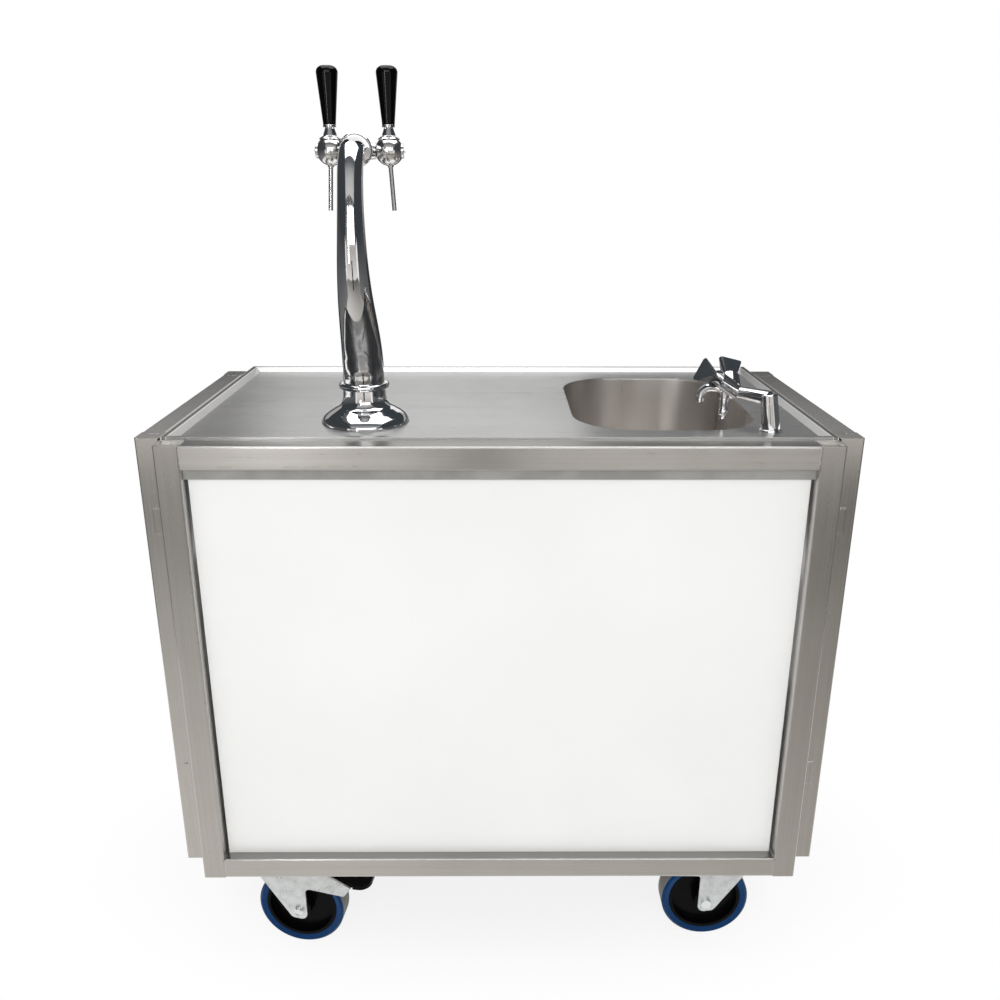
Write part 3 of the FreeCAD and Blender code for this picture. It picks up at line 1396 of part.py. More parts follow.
def make_lug(body, side, sign):
    """A round-topped lug at one end of the deck's rear edge, with a pin for the lid's barrel."""
    hinge_y, hinge_z = f"{LID_Y} - ({TUB_Y})", f"{LID_Z} - ({SHELF_TOP})"
    outer_face = f"{sign} * tub_wide / 2"
    inward = sign > 0
    foot = new_sketch(body, f"lug_foot_{side}", "YZ", outer_face)
    rectangle(foot, "2 * lid_knuckle", f"{hinge_z} - tub_tall", hinge_y, f"({hinge_z} + tub_tall) / 2")
    pad(body, foot, "lid_lug", reverse=inward)
    for part_name, radius, long in (("round", "lid_knuckle", "lid_lug"),
                                    ("pin", "lid_pin", "lid_lug + lid_pin_long")):
        sketch = new_sketch(body, f"lug_{part_name}_{side}", "YZ", outer_face)
        circle(sketch, radius, hinge_y, hinge_z)
        pad(body, sketch, long, reverse=inward)


def make_lid():
    """The rear lid, with a barrel along its front edge that turns on the lugs' pins."""
    body = new_body("cooler_lid", "tub_x", LID_Y, f"{SHELF_TOP} + tub_tall + running_gap")
    notch = "lid_lug + running_gap"
    plan = new_sketch(body, "plan", "XY")
    long = "tub_long - deck_long - lid_gap"
    rectangle(plan, "tub_wide", long, "0", f"({long}) / 2", "tub_corner / 2")
    pad(body, plan, "lid_thick")
    plug = new_sketch(body, "plug", "XY")
    plug_long = "tub_long - deck_long - tub_wall - lid_plug_front - lid_plug_rear"
    rectangle(plug, "tub_wide - 2 * tub_wall - 2 * lid_plug_side", plug_long, "0",
              f"lid_plug_front + ({plug_long}) / 2", "tub_corner / 2")
    pad(body, plug, "lid_plug", reverse=True)
    grip = new_sketch(body, "grip", "XY", "lid_thick")
    rectangle(grip, "lid_grip_long", "lid_grip_wide", "0", f"{long} - lid_grip_back", "lid_grip_round")
    pad(body, grip, "lid_grip_tall")
    for number, sign in enumerate((-1, 1)):
        corner = new_sketch(body, f"notch_{number}", "XY")
        rectangle(corner, notch, "2 * (lid_knuckle + running_gap)", f"{sign} * (tub_wide - ({notch})) / 2")
        pocket(body, corner, "lid_thick", reverse=True)
    barrel = new_sketch(body, "barrel", "YZ")
    circle(barrel, "lid_knuckle", "0", "lid_knuckle")
    pad(body, barrel, f"tub_wide - 2 * ({notch})", midplane=True)
    bore = new_sketch(body, "bore", "YZ")
    circle(bore, "lid_pin + bearing_gap", "0", "lid_knuckle")
    pocket(body, bore, "tub_wide", midplane=True)
    keep(body)


def make_cold_plate():
    """The aluminium cold plate under the ice, its rear inlets and the risers to the tower."""
    plate_y = f"{TUB_Y} - tub_long / 2 + tub_wall + cold_plate_gap + plate_deep_y / 2"
    keep(block("cold_plate", "plate_wide", "plate_deep_y", "plate_tall", "tub_x", plate_y,
               f"{SHELF_TOP} + tub_wall", "cold_plate_round"))
    risers, inlets = [], []
    riser_foot = f"{SHELF_TOP} + tub_wall + plate_tall"
    riser_top = f"{COUNTER} + flange_tall + collar_tall + line_rise"
    plate_rear = f"{plate_y} + plate_deep_y / 2"
    tub_rear = f"{TUB_Y} + tub_long / 2"
    for side, sign in (("left", -1), ("right", 1)):
        risers.append(turned(f"beer_riser_{side}", [
            ("line_bore", "0"), ("line_radius + line_socket", "0"),
            ("line_radius + line_socket", "line_socket_tall"), ("line_radius", "line_socket_tall"),
            ("line_radius", f"{riser_top} - ({riser_foot})"),
            ("line_bore", f"{riser_top} - ({riser_foot})"),
        ], f"tower_x + {sign} * line_span / 2", "tower_y", riser_foot))
        length = f"{tub_rear} + spigot_out - ({plate_rear})"
        wall = f"{tub_rear} - ({plate_rear})"
        inlets.append(turned(f"beer_inlet_{side}", [
            ("line_bore", "0"), ("line_radius", "0"), ("line_radius", wall), ("spigot_nut", wall),
            ("spigot_nut", f"{wall} + spigot_nut_tall"), ("line_radius", f"{wall} + spigot_nut_tall"),
            ("line_radius", length),
            ("line_bore", length),
        ], f"tub_x + {sign} * spigot_span / 2", plate_rear, f"{SHELF_TOP} + tub_wall + plate_tall / 2",
            Rotation(UP, BACK)))
    group("beer_risers", risers)
    group("beer_inlets", inlets)


# ---------------------------------------------------------------- water canisters
def make_canisters():
    """Two equal jerry cans under the sink: waste under the drain, fresh water beside it."""
    fresh_x = "sink_x - canister_wide - canister_gap"
    group("water_canisters", [make_canister("canister_waste", "sink_x"),
                              make_canister("canister_fresh", fresh_x)])
    neck_top = f"{SHELF_TOP} + canister_tall + neck_tall"
    keep(turned("canister_cap", [
        ("0", "0"), ("neck_radius", "0"), ("neck_radius", "-cap_tall + cap_crown"),
        ("cap_radius", "-cap_tall + cap_crown"), ("cap_radius", "cap_crown", "cap_crown_round"),
        ("0", "cap_crown"),
    ], fresh_x, "sink_y", neck_top))


def make_canister(label, x):
    body = new_body(label, x, "sink_y", SHELF_TOP)
    plan = new_sketch(body, "plan", "XY")
    rectangle(plan, "canister_wide", "canister_long", radius="canister_corner")
    pad(body, plan, "canister_tall")
    neck = new_sketch(body, "neck", "XY", "canister_tall")
    circle(neck, "neck_radius - bearing_gap")
    pad(body, neck, "neck_tall")
    bore = new_sketch(body, "bore", "XY", "canister_tall + neck_tall")
    circle(bore, "neck_bore")
    pocket(body, bore, "neck_tall + 3 * pipe_dip")
    return body


def main():
    make_frame()
    make_countertop()
    make_panels()
    make_sink()
    make_waste()
    make_casters()
    make_wings()
    make_tower()
    make_head()
    make_taps()
    make_mixer()
    make_cooler()
    make_canisters()
    doc.recompute()

    for item in doc.Objects:
        if "Invalid" in item.State or "Error" in item.State:
            raise RuntimeError(f"{item.Label}: {item.State}")
    for label, piece in NODES.items():
        if piece.Shape.isNull() or not piece.Shape.isValid() or not piece.Shape.Solids:
            raise RuntimeError(f"{label} has no sound shape")

    os.makedirs("parts", exist_ok=True)
    for label, piece in NODES.items():
        piece.Shape.exportStep(f"parts/{label}.step")


main()
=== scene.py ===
"""Looks of the mobile beer bar: camera, studio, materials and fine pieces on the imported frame.

Metres throughout, with X to the guest's right, Y to the rear and Z up from the floor.
"""
import json
import math

import bmesh
import bpy
from mathutils import Matrix, Vector


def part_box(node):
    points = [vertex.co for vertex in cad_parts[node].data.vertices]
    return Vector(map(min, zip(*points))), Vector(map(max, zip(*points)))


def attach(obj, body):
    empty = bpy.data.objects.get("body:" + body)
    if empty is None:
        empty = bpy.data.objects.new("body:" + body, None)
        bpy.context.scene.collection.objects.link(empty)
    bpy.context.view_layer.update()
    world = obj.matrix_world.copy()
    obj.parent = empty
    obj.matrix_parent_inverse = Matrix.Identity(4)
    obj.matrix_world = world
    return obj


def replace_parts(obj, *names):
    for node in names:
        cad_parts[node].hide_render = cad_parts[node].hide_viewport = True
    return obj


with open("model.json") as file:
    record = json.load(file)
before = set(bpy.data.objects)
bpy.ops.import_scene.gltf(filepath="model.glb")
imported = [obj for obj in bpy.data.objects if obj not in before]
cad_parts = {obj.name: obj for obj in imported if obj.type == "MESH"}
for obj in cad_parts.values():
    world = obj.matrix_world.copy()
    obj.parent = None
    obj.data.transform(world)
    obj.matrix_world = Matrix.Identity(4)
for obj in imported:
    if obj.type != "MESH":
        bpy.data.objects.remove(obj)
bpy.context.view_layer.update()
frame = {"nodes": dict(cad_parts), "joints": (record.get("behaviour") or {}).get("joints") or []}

NODES = frame["nodes"]
X, Y, Z = range(3)

# ---------------------------------------------------------------- sizes
# Edges that turn by more than this stay sharp.
SHARP_ANGLE = math.radians(32)
# The square tube of the frame and the wings, and a wing's length without its hinges.
TUBE = 0.040
TUBE_WALL = 0.002
WING_LENGTH = 0.5654
# The countertop's sheet, its side rims, and how far in from its edge the rim's flat top has its folds,
# where the painted rim shade and painted highlight lines lie.
SHEET = 0.002
RIM_WIDTH = 0.018
FOLD_INSETS = (0.0088, 0.0009)
# Places from the frame: the counter's surface, its sheet's front and side edges, and the wings' top.
COUNTER_LOW, COUNTER_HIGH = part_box("countertop")
SURFACE = COUNTER_LOW[Z] + SHEET
TRAY_FRONT = -COUNTER_LOW[Y]
COUNTER_HALF = COUNTER_HIGH[X]
WING_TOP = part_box("wing_frame_left")[1][Z]

# ---------------------------------------------------------------- camera
CAMERA_PLACE = (-0.0083674, -1.7271309, 1.4094859)
CAMERA_RIGHT = (0.9999857, -0.0050533, 0.0017392)
CAMERA_UP = (-0.0000166, 0.3224967, 0.9465706)
CAMERA_AHEAD = (0.0053442, 0.9465571, -0.3224920)
SENSOR_MM = 36.0
LENS_MM = 33.4426
FARTHEST = 60.0


def make_camera():
    """The photograph's viewpoint, as fitted to the frame's straight edges."""
    data = bpy.data.cameras.new("camera")
    data.sensor_width = SENSOR_MM
    data.lens = LENS_MM
    data.clip_end = FARTHEST
    camera = bpy.data.objects.new("camera", data)
    turn = Matrix((CAMERA_RIGHT, CAMERA_UP, -Vector(CAMERA_AHEAD))).transposed().to_4x4()
    camera.matrix_world = Matrix.Translation(CAMERA_PLACE) @ turn
    bpy.context.scene.collection.objects.link(camera)
    bpy.context.scene.camera = camera


# ---------------------------------------------------------------- node helpers
MIX_SOCKETS = {"FLOAT": (2, 3, 0), "VECTOR": (4, 5, 1), "RGBA": (6, 7, 2)}
SHADER_SOCKETS = {
    "color": "Base Color", "rough": "Roughness", "metal": "Metallic", "normal": "Normal",
    "specular": "Specular IOR Level", "aniso": "Anisotropic", "turn": "Anisotropic Rotation",
    "tangent": "Tangent",
}


class Tree:
    """The emptied node tree of a material or a world, with short calls for the nodes used here."""

    def __init__(self, owner, output="ShaderNodeOutputMaterial"):
        owner.use_nodes = True
        self.owner = owner
        self.nodes = owner.node_tree.nodes
        self.links = owner.node_tree.links
        self.nodes.clear()
        self.surface = self.add(output).inputs["Surface"]

    def add(self, kind, **settings):
        node = self.nodes.new(kind)
        for key, value in settings.items():
            setattr(node, key, value)
        return node

    def link(self, source, target):
        self.links.new(source, target)

    def feed(self, socket, value):
        """Links another node's output to a socket, or sets the socket to a plain value."""
        if isinstance(value, bpy.types.NodeSocket):
            self.link(value, socket)
        else:
            socket.default_value = value

    def place(self):
        """The object's own coordinates."""
        return self.add("ShaderNodeTexCoord").outputs["Object"]

    def scaled(self, vector, scale):
        node = self.add("ShaderNodeMapping")
        self.link(vector, node.inputs["Vector"])
        node.inputs["Scale"].default_value = scale
        return node.outputs[0]

    def apart(self, vector):
        """A vector's three numbers."""
        node = self.add("ShaderNodeSeparateXYZ")
        self.link(vector, node.inputs[0])
        return node.outputs

    def math(self, operation, a, b=0.0, clamp=False):
        node = self.add("ShaderNodeMath", operation=operation, use_clamp=clamp)
        self.feed(node.inputs[0], a)
        self.feed(node.inputs[1], b)
        return node.outputs[0]

    def ramp(self, value, low, high, new_low=0.0, new_high=1.0, form="SMOOTHSTEP"):
        """Maps low to high onto new_low to new_high, and holds the end values beyond them."""
        node = self.add("ShaderNodeMapRange", interpolation_type=form)
        self.link(value, node.inputs["Value"])
        ends = {"From Min": low, "From Max": high, "To Min": new_low, "To Max": new_high}
        for name, number in ends.items():
            node.inputs[name].default_value = number
        return node.outputs["Result"]

    def mix(self, factor, a, b, kind="RGBA"):
        """Blends two colours or, by kind, two numbers or two vectors."""
        node = self.add("ShaderNodeMix", data_type=kind)
        first, second, result = MIX_SOCKETS[kind]
        self.link(factor, node.inputs[0])
        self.feed(node.inputs[first], a)
        self.feed(node.inputs[second], b)
        return node.outputs[result]

    def show(self, factor, first, second):
        """Mixes two shaders by a factor and makes them the surface."""
        node = self.add("ShaderNodeMixShader")
        for socket, source in zip(node.inputs, (factor, first.outputs[0], second.outputs[0])):
            self.link(source, socket)
        self.link(node.outputs[0], self.surface)


class Finish(Tree):
    """A material for the object itself: one principled shader, with noise laid on the object."""

    def __init__(self, name):
        super().__init__(bpy.data.materials.new(name))
        self.shader = self.add("ShaderNodeBsdfPrincipled")
        self.link(self.shader.outputs["BSDF"], self.surface)
        self.coords = self.place()

    def noise(self, scale, frequency=1.0, detail=3.0, rough=0.5):
        """Noise at one scale, or at a scale for each axis, which stretches it into grain."""
        scales = scale if isinstance(scale, tuple) else (scale, scale, scale)
        node = self.add("ShaderNodeTexNoise")
        self.link(self.scaled(self.coords, scales), node.inputs["Vector"])
        node.inputs["Scale"].default_value = frequency
        node.inputs["Detail"].default_value = detail
        node.inputs["Roughness"].default_value = rough
        return node.outputs["Fac"]

    def spread(self, noise, low=0.0, high=1.0):
        """A noise's usual range, spread between two values."""
        return self.ramp(noise, 0.3, 0.7, low, high)

    def direction(self, axis):
        """One of the object's own axes as a world direction."""
        node = self.add("ShaderNodeVectorTransform", vector_type="VECTOR", convert_from="OBJECT",
                        convert_to="WORLD")
        node.inputs[0].default_value = [float(axis == letter) for letter in "XYZ"]
        return node.outputs[0]

    def relief(self, height, strength, edge, depth=0.0003):
        """Fine relief, on edges that look rounded to a radius."""
        bevel = self.add("ShaderNodeBevel", samples=4)
        bevel.inputs["Radius"].default_value = edge
        node = self.add("ShaderNodeBump")
        node.inputs["Strength"].default_value = strength
        node.inputs["Distance"].default_value = depth
        self.link(height, node.inputs["Height"])
        self.link(bevel.outputs["Normal"], node.inputs["Normal"])
        return node.outputs["Normal"]

    def set(self, **values):
        for key, value in values.items():
            self.feed(self.shader.inputs[SHADER_SOCKETS[key]], value)
        return self.owner


def tone(color, factor=1.0):
    return (*[min(1.0, channel * factor) for channel in color], 1.0)


# ---------------------------------------------------------------- materials
# The grain's noise scale along and across the brushing, and how much smaller it is for the wide lines.
GRAIN_ALONG = 4.0
GRAIN_ACROSS = 700.0
WIDE_GRAIN = 0.22
# Anisotropic Rotation counts in full turns.
QUARTER_TURN = 0.25
# A rim's flat top gets painted shade: its dark tone, its share of the colour and how softly it starts. Then
# a painted highlight line at each of its edges: its tone, and how far from the edge it begins and stops
# fading.
FOLD_PAINTED_SHADE_TONE = (0.10, 0.092, 0.078)
FOLD_PAINTED_SHADE_SHARE = 0.6
FOLD_PAINTED_SHADE_SOFTNESS = 0.0006
FOLD_PAINTED_HIGHLIGHT_TONE = (0.95, 0.94, 0.92)
FOLD_PAINTED_HIGHLIGHT_FADE = (0.0005, 0.0012)
# The near-black tone of the painted shade on faces that look up.
PAINTED_TOP_SHADE_TONE = (0.06, 0.06, 0.06)
SCUFF_TONE = (0.42, 0.42, 0.41)
TYRE_BLUE = (0.001, 0.036, 0.128)
# The grey of the tyre's tread.
TYRE_TREAD_GREY = (0.20, 0.193, 0.18)


def grain(tree, axis):
    """Hairline brushing that runs along one axis, fine lines over wider ones."""
    fine = tuple(GRAIN_ALONG if letter == axis else GRAIN_ACROSS for letter in "XYZ")
    lines = tree.noise(fine, 1.0, 2.0, 0.6)
    wide = tree.noise(tuple(number * WIDE_GRAIN for number in fine), 1.0, 2.0, 0.5)
    return tree.math("ADD", tree.math("MULTIPLY", lines, 0.6), tree.math("MULTIPLY", wide, 0.4))


def paint_rim_shade_and_highlights(tree, base, distance, painted_rim_edges):
    """Paints shade on a rim's flat top over a base colour, and a painted highlight line at each of its two
    edges.
    """
    painted_shade_band = tree.ramp(distance, painted_rim_edges[0], painted_rim_edges[0] + FOLD_PAINTED_SHADE_SOFTNESS, 0.0, FOLD_PAINTED_SHADE_SHARE)
    base = tree.mix(painted_shade_band, base, tone(FOLD_PAINTED_SHADE_TONE))
    for edge in painted_rim_edges:
        away = tree.math("ABSOLUTE", tree.math("SUBTRACT", distance, edge))
        base = tree.mix(tree.ramp(away, *FOLD_PAINTED_HIGHLIGHT_FADE, 1.0, 0.0), base, tone(FOLD_PAINTED_HIGHLIGHT_TONE))
    return base


def brushed(name, color, axis, rough=0.30, edge=0.0012, stretch=0.75, turned=None, painted_rim_edges=None, painted_top_shade=None):
    """Brushed stainless steel, with grain along an axis that stretches the highlights.

    turned is a second axis for the grain, the coordinate that decides between the two, and how far from
    zero the second one takes over. The argument after turned is how far out, on the same coordinate, the
    inner and the outer edge of a rim's flat top lie; that top gets painted shade, with a painted highlight
    line at each edge. The last argument is how much painted shade darkens the faces that look up.
    """
    tree = Finish(name)
    lines = grain(tree, axis)
    way = tree.direction(axis)
    if turned:
        other, coordinate, limit = turned
        distance = tree.math("ABSOLUTE", tree.apart(tree.coords)[coordinate])
        beyond = tree.math("GREATER_THAN", distance, limit)
        lines = tree.mix(beyond, lines, grain(tree, other), "FLOAT")
        way = tree.mix(beyond, way, tree.direction(other), "VECTOR")
    cloud = tree.noise(3.0, 1.6, 4.0, 0.55)
    smudge = tree.noise(9.0, 2.2, 5.0, 0.6)
    shade = tree.math("ADD", tree.spread(lines, -0.08, 0.08), tree.spread(cloud, -0.05, 0.05))
    factor = tree.math("ADD", shade, 0.5, clamp=True)
    base = tree.mix(factor, tone(color, 0.68), tone(color, 1.32))
    # A rim's flat top gets painted shade and a painted highlight line at each edge.
    if painted_rim_edges:
        base = paint_rim_shade_and_highlights(tree, base, distance, painted_rim_edges)
    # Painted shade: faces that look up are darkened towards a near-black tone.
    if painted_top_shade:
        height = tree.apart(tree.add("ShaderNodeNewGeometry").outputs["Normal"])[Z]
        base = tree.mix(tree.ramp(height, 0.7, 0.9, 0.0, painted_top_shade), base, tone(PAINTED_TOP_SHADE_TONE))
    roughness = tree.math("ADD", tree.spread(lines, rough - 0.02, rough + 0.02),
                          tree.ramp(smudge, 0.45, 0.7, -0.01, 0.02))
    return tree.set(color=base, metal=1.0, rough=roughness, aniso=stretch, turn=QUARTER_TURN,
                    tangent=way, normal=tree.relief(lines, 0.05, edge, 0.0004))


def satin(name, color):
    """Drawn sheet with a smooth satin finish: soft broad streaks and hardly any grain."""
    tree = Finish(name)
    draw = tree.noise((11.0, 11.0, 1.2), 1.0, 3.0, 0.5)
    fine = tree.noise((900.0, 900.0, 60.0), 1.0, 2.0, 0.5)
    base = tree.mix(tree.spread(draw), tone(color, 0.86), tone(color, 1.08))
    return tree.set(color=base, metal=1.0, rough=tree.spread(draw, 0.26, 0.36),
                    normal=tree.relief(fine, 0.04, 0.002))


def polished(name, color, rough=0.045, edge=0.0008):
    """Chrome plate: mirror-bright, with the faintest haze and orange peel."""
    tree = Finish(name)
    haze = tree.noise(14.0, 1.0, 5.0, 0.6)
    peel = tree.noise(220.0, 1.0, 2.0, 0.5)
    base = tree.mix(tree.ramp(haze, 0.35, 0.7), tone(color), tone(color, 0.93))
    return tree.set(color=base, metal=1.0, rough=tree.ramp(haze, 0.35, 0.75, rough, rough + 0.05),
                    normal=tree.relief(peel, 0.025, edge))


def galvanised(name, color):
    """Bright zinc on pressed steel: soft blue-white mottling and small scuffs."""
    tree = Finish(name)
    mottle = tree.noise(60.0, 1.0, 4.0, 0.6)
    scuff = tree.noise((240.0, 240.0, 40.0), 1.0, 3.0, 0.7)
    base = tree.mix(tree.ramp(mottle, 0.35, 0.65), tone(color, 0.86), tone(color, 1.06))
    base = tree.mix(tree.ramp(scuff, 0.62, 0.76, 0.0, 0.22), base, tone(SCUFF_TONE))
    return tree.set(color=base, metal=0.55, rough=tree.spread(mottle, 0.26, 0.42),
                    normal=tree.relief(mottle, 0.04, 0.0012))


def white_panel(name, color):
    """Smooth white panel: a faint pebble in the gloss and a barely uneven tone."""
    tree = Finish(name)
    cloud = tree.noise(2.2, 1.3, 3.0, 0.5)
    pebble = tree.noise(420.0, 1.0, 2.0, 0.5)
    base = tree.mix(tree.spread(cloud), tone(color, 0.985), tone(color, 1.015))
    return tree.set(color=base, rough=tree.spread(cloud, 0.30, 0.38), specular=0.45,
                    normal=tree.relief(pebble, 0.05, 0.0008))


def cloud_and_skin(tree):
    """The soft drift of tone and the fine texture that moulded things share."""
    return tree.noise(18.0, 1.0, 4.0, 0.6), tree.noise(700.0, 1.0, 2.0, 0.6)


def moulded(name, color, rough, texture=0.15, spread=0.12, specular=0.4):
    """Moulded plastic or lacquer with a little tonal drift and a fine skin texture."""
    tree = Finish(name)
    cloud, skin = cloud_and_skin(tree)
    base = tree.mix(tree.spread(cloud), tone(color, 1.0 - spread), tone(color, 1.0 + spread))
    return tree.set(color=base, rough=tree.spread(cloud, rough * 0.85, rough * 1.15),
                    specular=specular, normal=tree.relief(skin, texture, 0.0010))


def tyre(name, wheel):
    """Elastic tyre with blue sides and a grey tread: the sides are what faces along the axle."""
    tree = Finish(name)
    cloud, skin = cloud_and_skin(tree)
    across = tree.add("ShaderNodeVectorMath", operation="DOT_PRODUCT")
    tree.link(tree.add("ShaderNodeTexCoord").outputs["Normal"], across.inputs[0])
    across.inputs[1].default_value = next(joint["axis"] for joint in frame["joints"]
                                          if joint["child"] == wheel)
    side = tree.ramp(tree.math("ABSOLUTE", across.outputs["Value"]), 0.30, 0.50)
    drift = tree.spread(cloud)
    base = tree.mix(side, tree.mix(drift, tone(TYRE_TREAD_GREY, 0.85), tone(TYRE_TREAD_GREY, 1.15)),
                    tree.mix(drift, tone(TYRE_BLUE, 0.88), tone(TYRE_BLUE, 1.12)))
    return tree.set(color=base, rough=tree.ramp(side, 0.0, 1.0, 0.50, 0.34), specular=0.13,
                    normal=tree.relief(skin, 0.25, 0.0010))


def make_materials():
    steel = (0.60, 0.585, 0.565)
    rim = [COUNTER_HALF - inset for inset in FOLD_INSETS]
    return {
        "post": brushed("steel_upright", steel, "Z", edge=0.002),
        "hinge": brushed("steel_hinge", (0.34, 0.335, 0.33), "Z", rough=0.5, stretch=0.2),
        "weld": brushed("steel_weld", (0.66, 0.65, 0.63), "Z", rough=0.26, edge=0.0003, stretch=0.0),
        # The rails' faces that look up get painted shade.
        "rail": brushed("steel_rails", steel, "Y", edge=0.002, turned=("X", Y, TRAY_FRONT), painted_top_shade=0.5),
        "wing": brushed("steel_wing", steel, "Z", rough=0.24, edge=0.002,
                        turned=("Y", Z, WING_TOP - TUBE_WALL)),
        # The counter's side rims get painted shade and painted highlight lines on their flat tops.
        "counter": brushed("steel_counter", (0.50, 0.495, 0.49), "X",
                           turned=("Y", X, COUNTER_HALF - RIM_WIDTH), painted_rim_edges=rim),
        "shelf": brushed("steel_shelf", (0.5, 0.49, 0.48), "X", rough=0.4),
        "bowl": satin("satin_bowl", (0.70, 0.67, 0.64)),
        "panel": white_panel("panel_white", (0.90, 0.90, 0.885)),
        "strip": moulded("strip_grey", (0.30, 0.295, 0.28), 0.45),
        "chrome": polished("chrome_plate", (0.80, 0.80, 0.81)),
        "zinc": galvanised("zinc_plate", (0.64, 0.66, 0.66)),
        "nut": polished("zinc_nut", (0.72, 0.74, 0.75), rough=0.16, edge=0.0006),
        "ball": polished("chrome_satin", (0.80, 0.79, 0.77), rough=0.15),
        "blue": tyre("tyre_blue", "wheel_front_right"),
        "blue_turned": tyre("tyre_blue_turned", "wheel_front_left"),
        "nylon": moulded("nylon_black", (0.003, 0.003, 0.0035), 0.26, 0.12, specular=0.05),
        "grip": moulded("grip_black", (0.0010, 0.0010, 0.0012), 0.045, 0.0, 0.05, 0.22),
        "knob": moulded("knob_dark", (0.034, 0.040, 0.046), 0.18, 0.02, 0.08, 0.60),
        "tub": moulded("tub_white", (0.80, 0.81, 0.81), 0.45, 0.3, 0.02),
        "pipe": moulded("pipe_grey", (0.42, 0.42, 0.42), 0.4),
        "cast": brushed("cast_plate", (0.62, 0.63, 0.64), "X", rough=0.5),
        "canister": moulded("canister_white", (0.74, 0.77, 0.74), 0.4, 0.2, 0.03),
    }


NODE_LOOKS = {
    "frame_posts": "post", "frame_top_rails": "rail", "frame_bottom_rails": "rail",
    "countertop": "counter", "front_panel": "panel", "panel_top_strip": "strip", "base_shelf": "shelf",
    "sink_bowl": "bowl", "sink_strainer": "bowl", "waste_pipe": "pipe",
    "caster_plates": "zinc", "caster_bolts": "zinc",
    "wing_frame_left": "wing", "wing_frame_right": "wing", "wing_hinges": "hinge",
    "wing_panel_left": "panel", "wing_panel_right": "panel",
    "tower_flange": "chrome", "tower_collar": "chrome", "tower_column": "chrome", "tower_clamp": "zinc",
    "tap_head_bar": "chrome", "tap_balls": "ball", "tap_spouts": "chrome", "tap_side_caps": "chrome",
    "lever_hood_left": "chrome", "lever_hood_right": "chrome",
    "lever_grip_left": "grip", "lever_grip_right": "grip",
    "mixer_pillar": "chrome", "mixer_nut": "zinc", "mixer_body": "chrome", "mixer_nozzle": "chrome",
    "mixer_knob_front": "knob", "mixer_knob_rear": "knob",
    "cooler_tub": "tub", "cooler_lid": "tub", "cold_plate": "cast",
    "beer_risers": "bowl", "beer_inlets": "bowl",
    "water_canisters": "canister", "canister_cap": "nylon",
}
for corner in ("front_left", "front_right", "rear_left", "rear_right"):
    NODE_LOOKS[f"fork_{corner}"] = "zinc"
    NODE_LOOKS[f"axle_{corner}"] = "nut"
    NODE_LOOKS[f"wheel_{corner}"] = "nylon"
    NODE_LOOKS[f"tyre_{corner}"] = "blue"
    if corner.endswith("left"):
        NODE_LOOKS[f"brake_pedal_{corner}"] = "nylon"
# The front left caster stands at a slant, the other three straight.
NODE_LOOKS["tyre_front_left"] = "blue_turned"


def dress(mesh, look):
    """One material, and smooth shading that stays sharp at real edges."""
    mesh.materials.clear()
    mesh.materials.append(look)
    mesh.shade_smooth()
    mesh.set_sharp_from_angle(angle=SHARP_ANGLE)


def dress_nodes(looks):
    for name, node in NODES.items():
        dress(node.data, looks[NODE_LOOKS[name]])


# ---------------------------------------------------------------- fine pieces
def add_piece(name, bm, look, body):
    mesh = bpy.data.meshes.new(name)
    bm.to_mesh(mesh)
    bm.free()
    dress(mesh, look)
    piece = bpy.data.objects.new(name, mesh)
    bpy.context.scene.collection.objects.link(piece)
    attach(piece, body)
    return piece


def skin_rings(bm, rings):
    """Faces from each closed ring of vertices to the next."""
    for first, second in zip(rings, rings[1:]):
        for index in range(len(first)):
            after = (index + 1) % len(first)
            bm.faces.new((first[index], second[index], second[after], first[after]))


# ---------------------------------------------------------------- the tower's foot
# Radii and heights above the countertop's surface; an outline's points hold one of each.
BELL_FOOT = 0.0755
SKIRT = ((0.0760, 0.0012), (0.0745, 0.0062), (0.0695, 0.0126), (0.0620, 0.0182))
NECK = 0.0585
SWEEP = ((0.0606, 0.0190), (0.0520, 0.0240), (0.0440, 0.0290), (0.0390, 0.0366), (0.0371, 0.0460),
         (0.0367, NECK))
BORE = 0.016
TAIL = 0.024
RING_HALF = 0.0056
RING_MIDDLE = 0.0378
RING_TOP = 0.0358
# How many steps the ring's bulge, each stretch of a curve and a full turn take.
RING_STEPS = 12
CURVE_STEPS = 6
AROUND = 144


def curve_point(before, start, end, after, share):
    """One coordinate of a Catmull-Rom curve, a share of the way from start to end."""
    rise = (end - before) * share
    bend = (2 * before - 5 * start + 4 * end - after) * share ** 2
    twist = (3 * start - before - 3 * end + after) * share ** 3
    return 0.5 * (2 * start + rise + bend + twist)


def smooth_run(points):
    """Points along a Catmull-Rom curve through the given ones."""
    ends = [points[0], *points, points[-1]]
    run = []
    for four in zip(ends, ends[1:], ends[2:], ends[3:]):
        for step in range(CURVE_STEPS):
            run.append(tuple(curve_point(*numbers, step / CURVE_STEPS) for numbers in zip(*four)))
    return run + [points[-1]]


def lathe(name, profile, centre, look, node):
    """A closed ring turned about an upright axis from (radius, height) points; it stands for a CAD node."""
    bm = bmesh.new()
    angles = [2 * math.pi * step / AROUND for step in range(AROUND)]
    rings = []
    for radius, height in profile:
        rings.append([bm.verts.new((centre[X] + radius * math.cos(angle),
                                    centre[Y] + radius * math.sin(angle),
                                    centre[Z] + height)) for angle in angles])
    skin_rings(bm, rings + rings[:1])
    bmesh.ops.recalc_face_normals(bm, faces=bm.faces)
    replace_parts(add_piece(name, bm, look, "cart"), node)


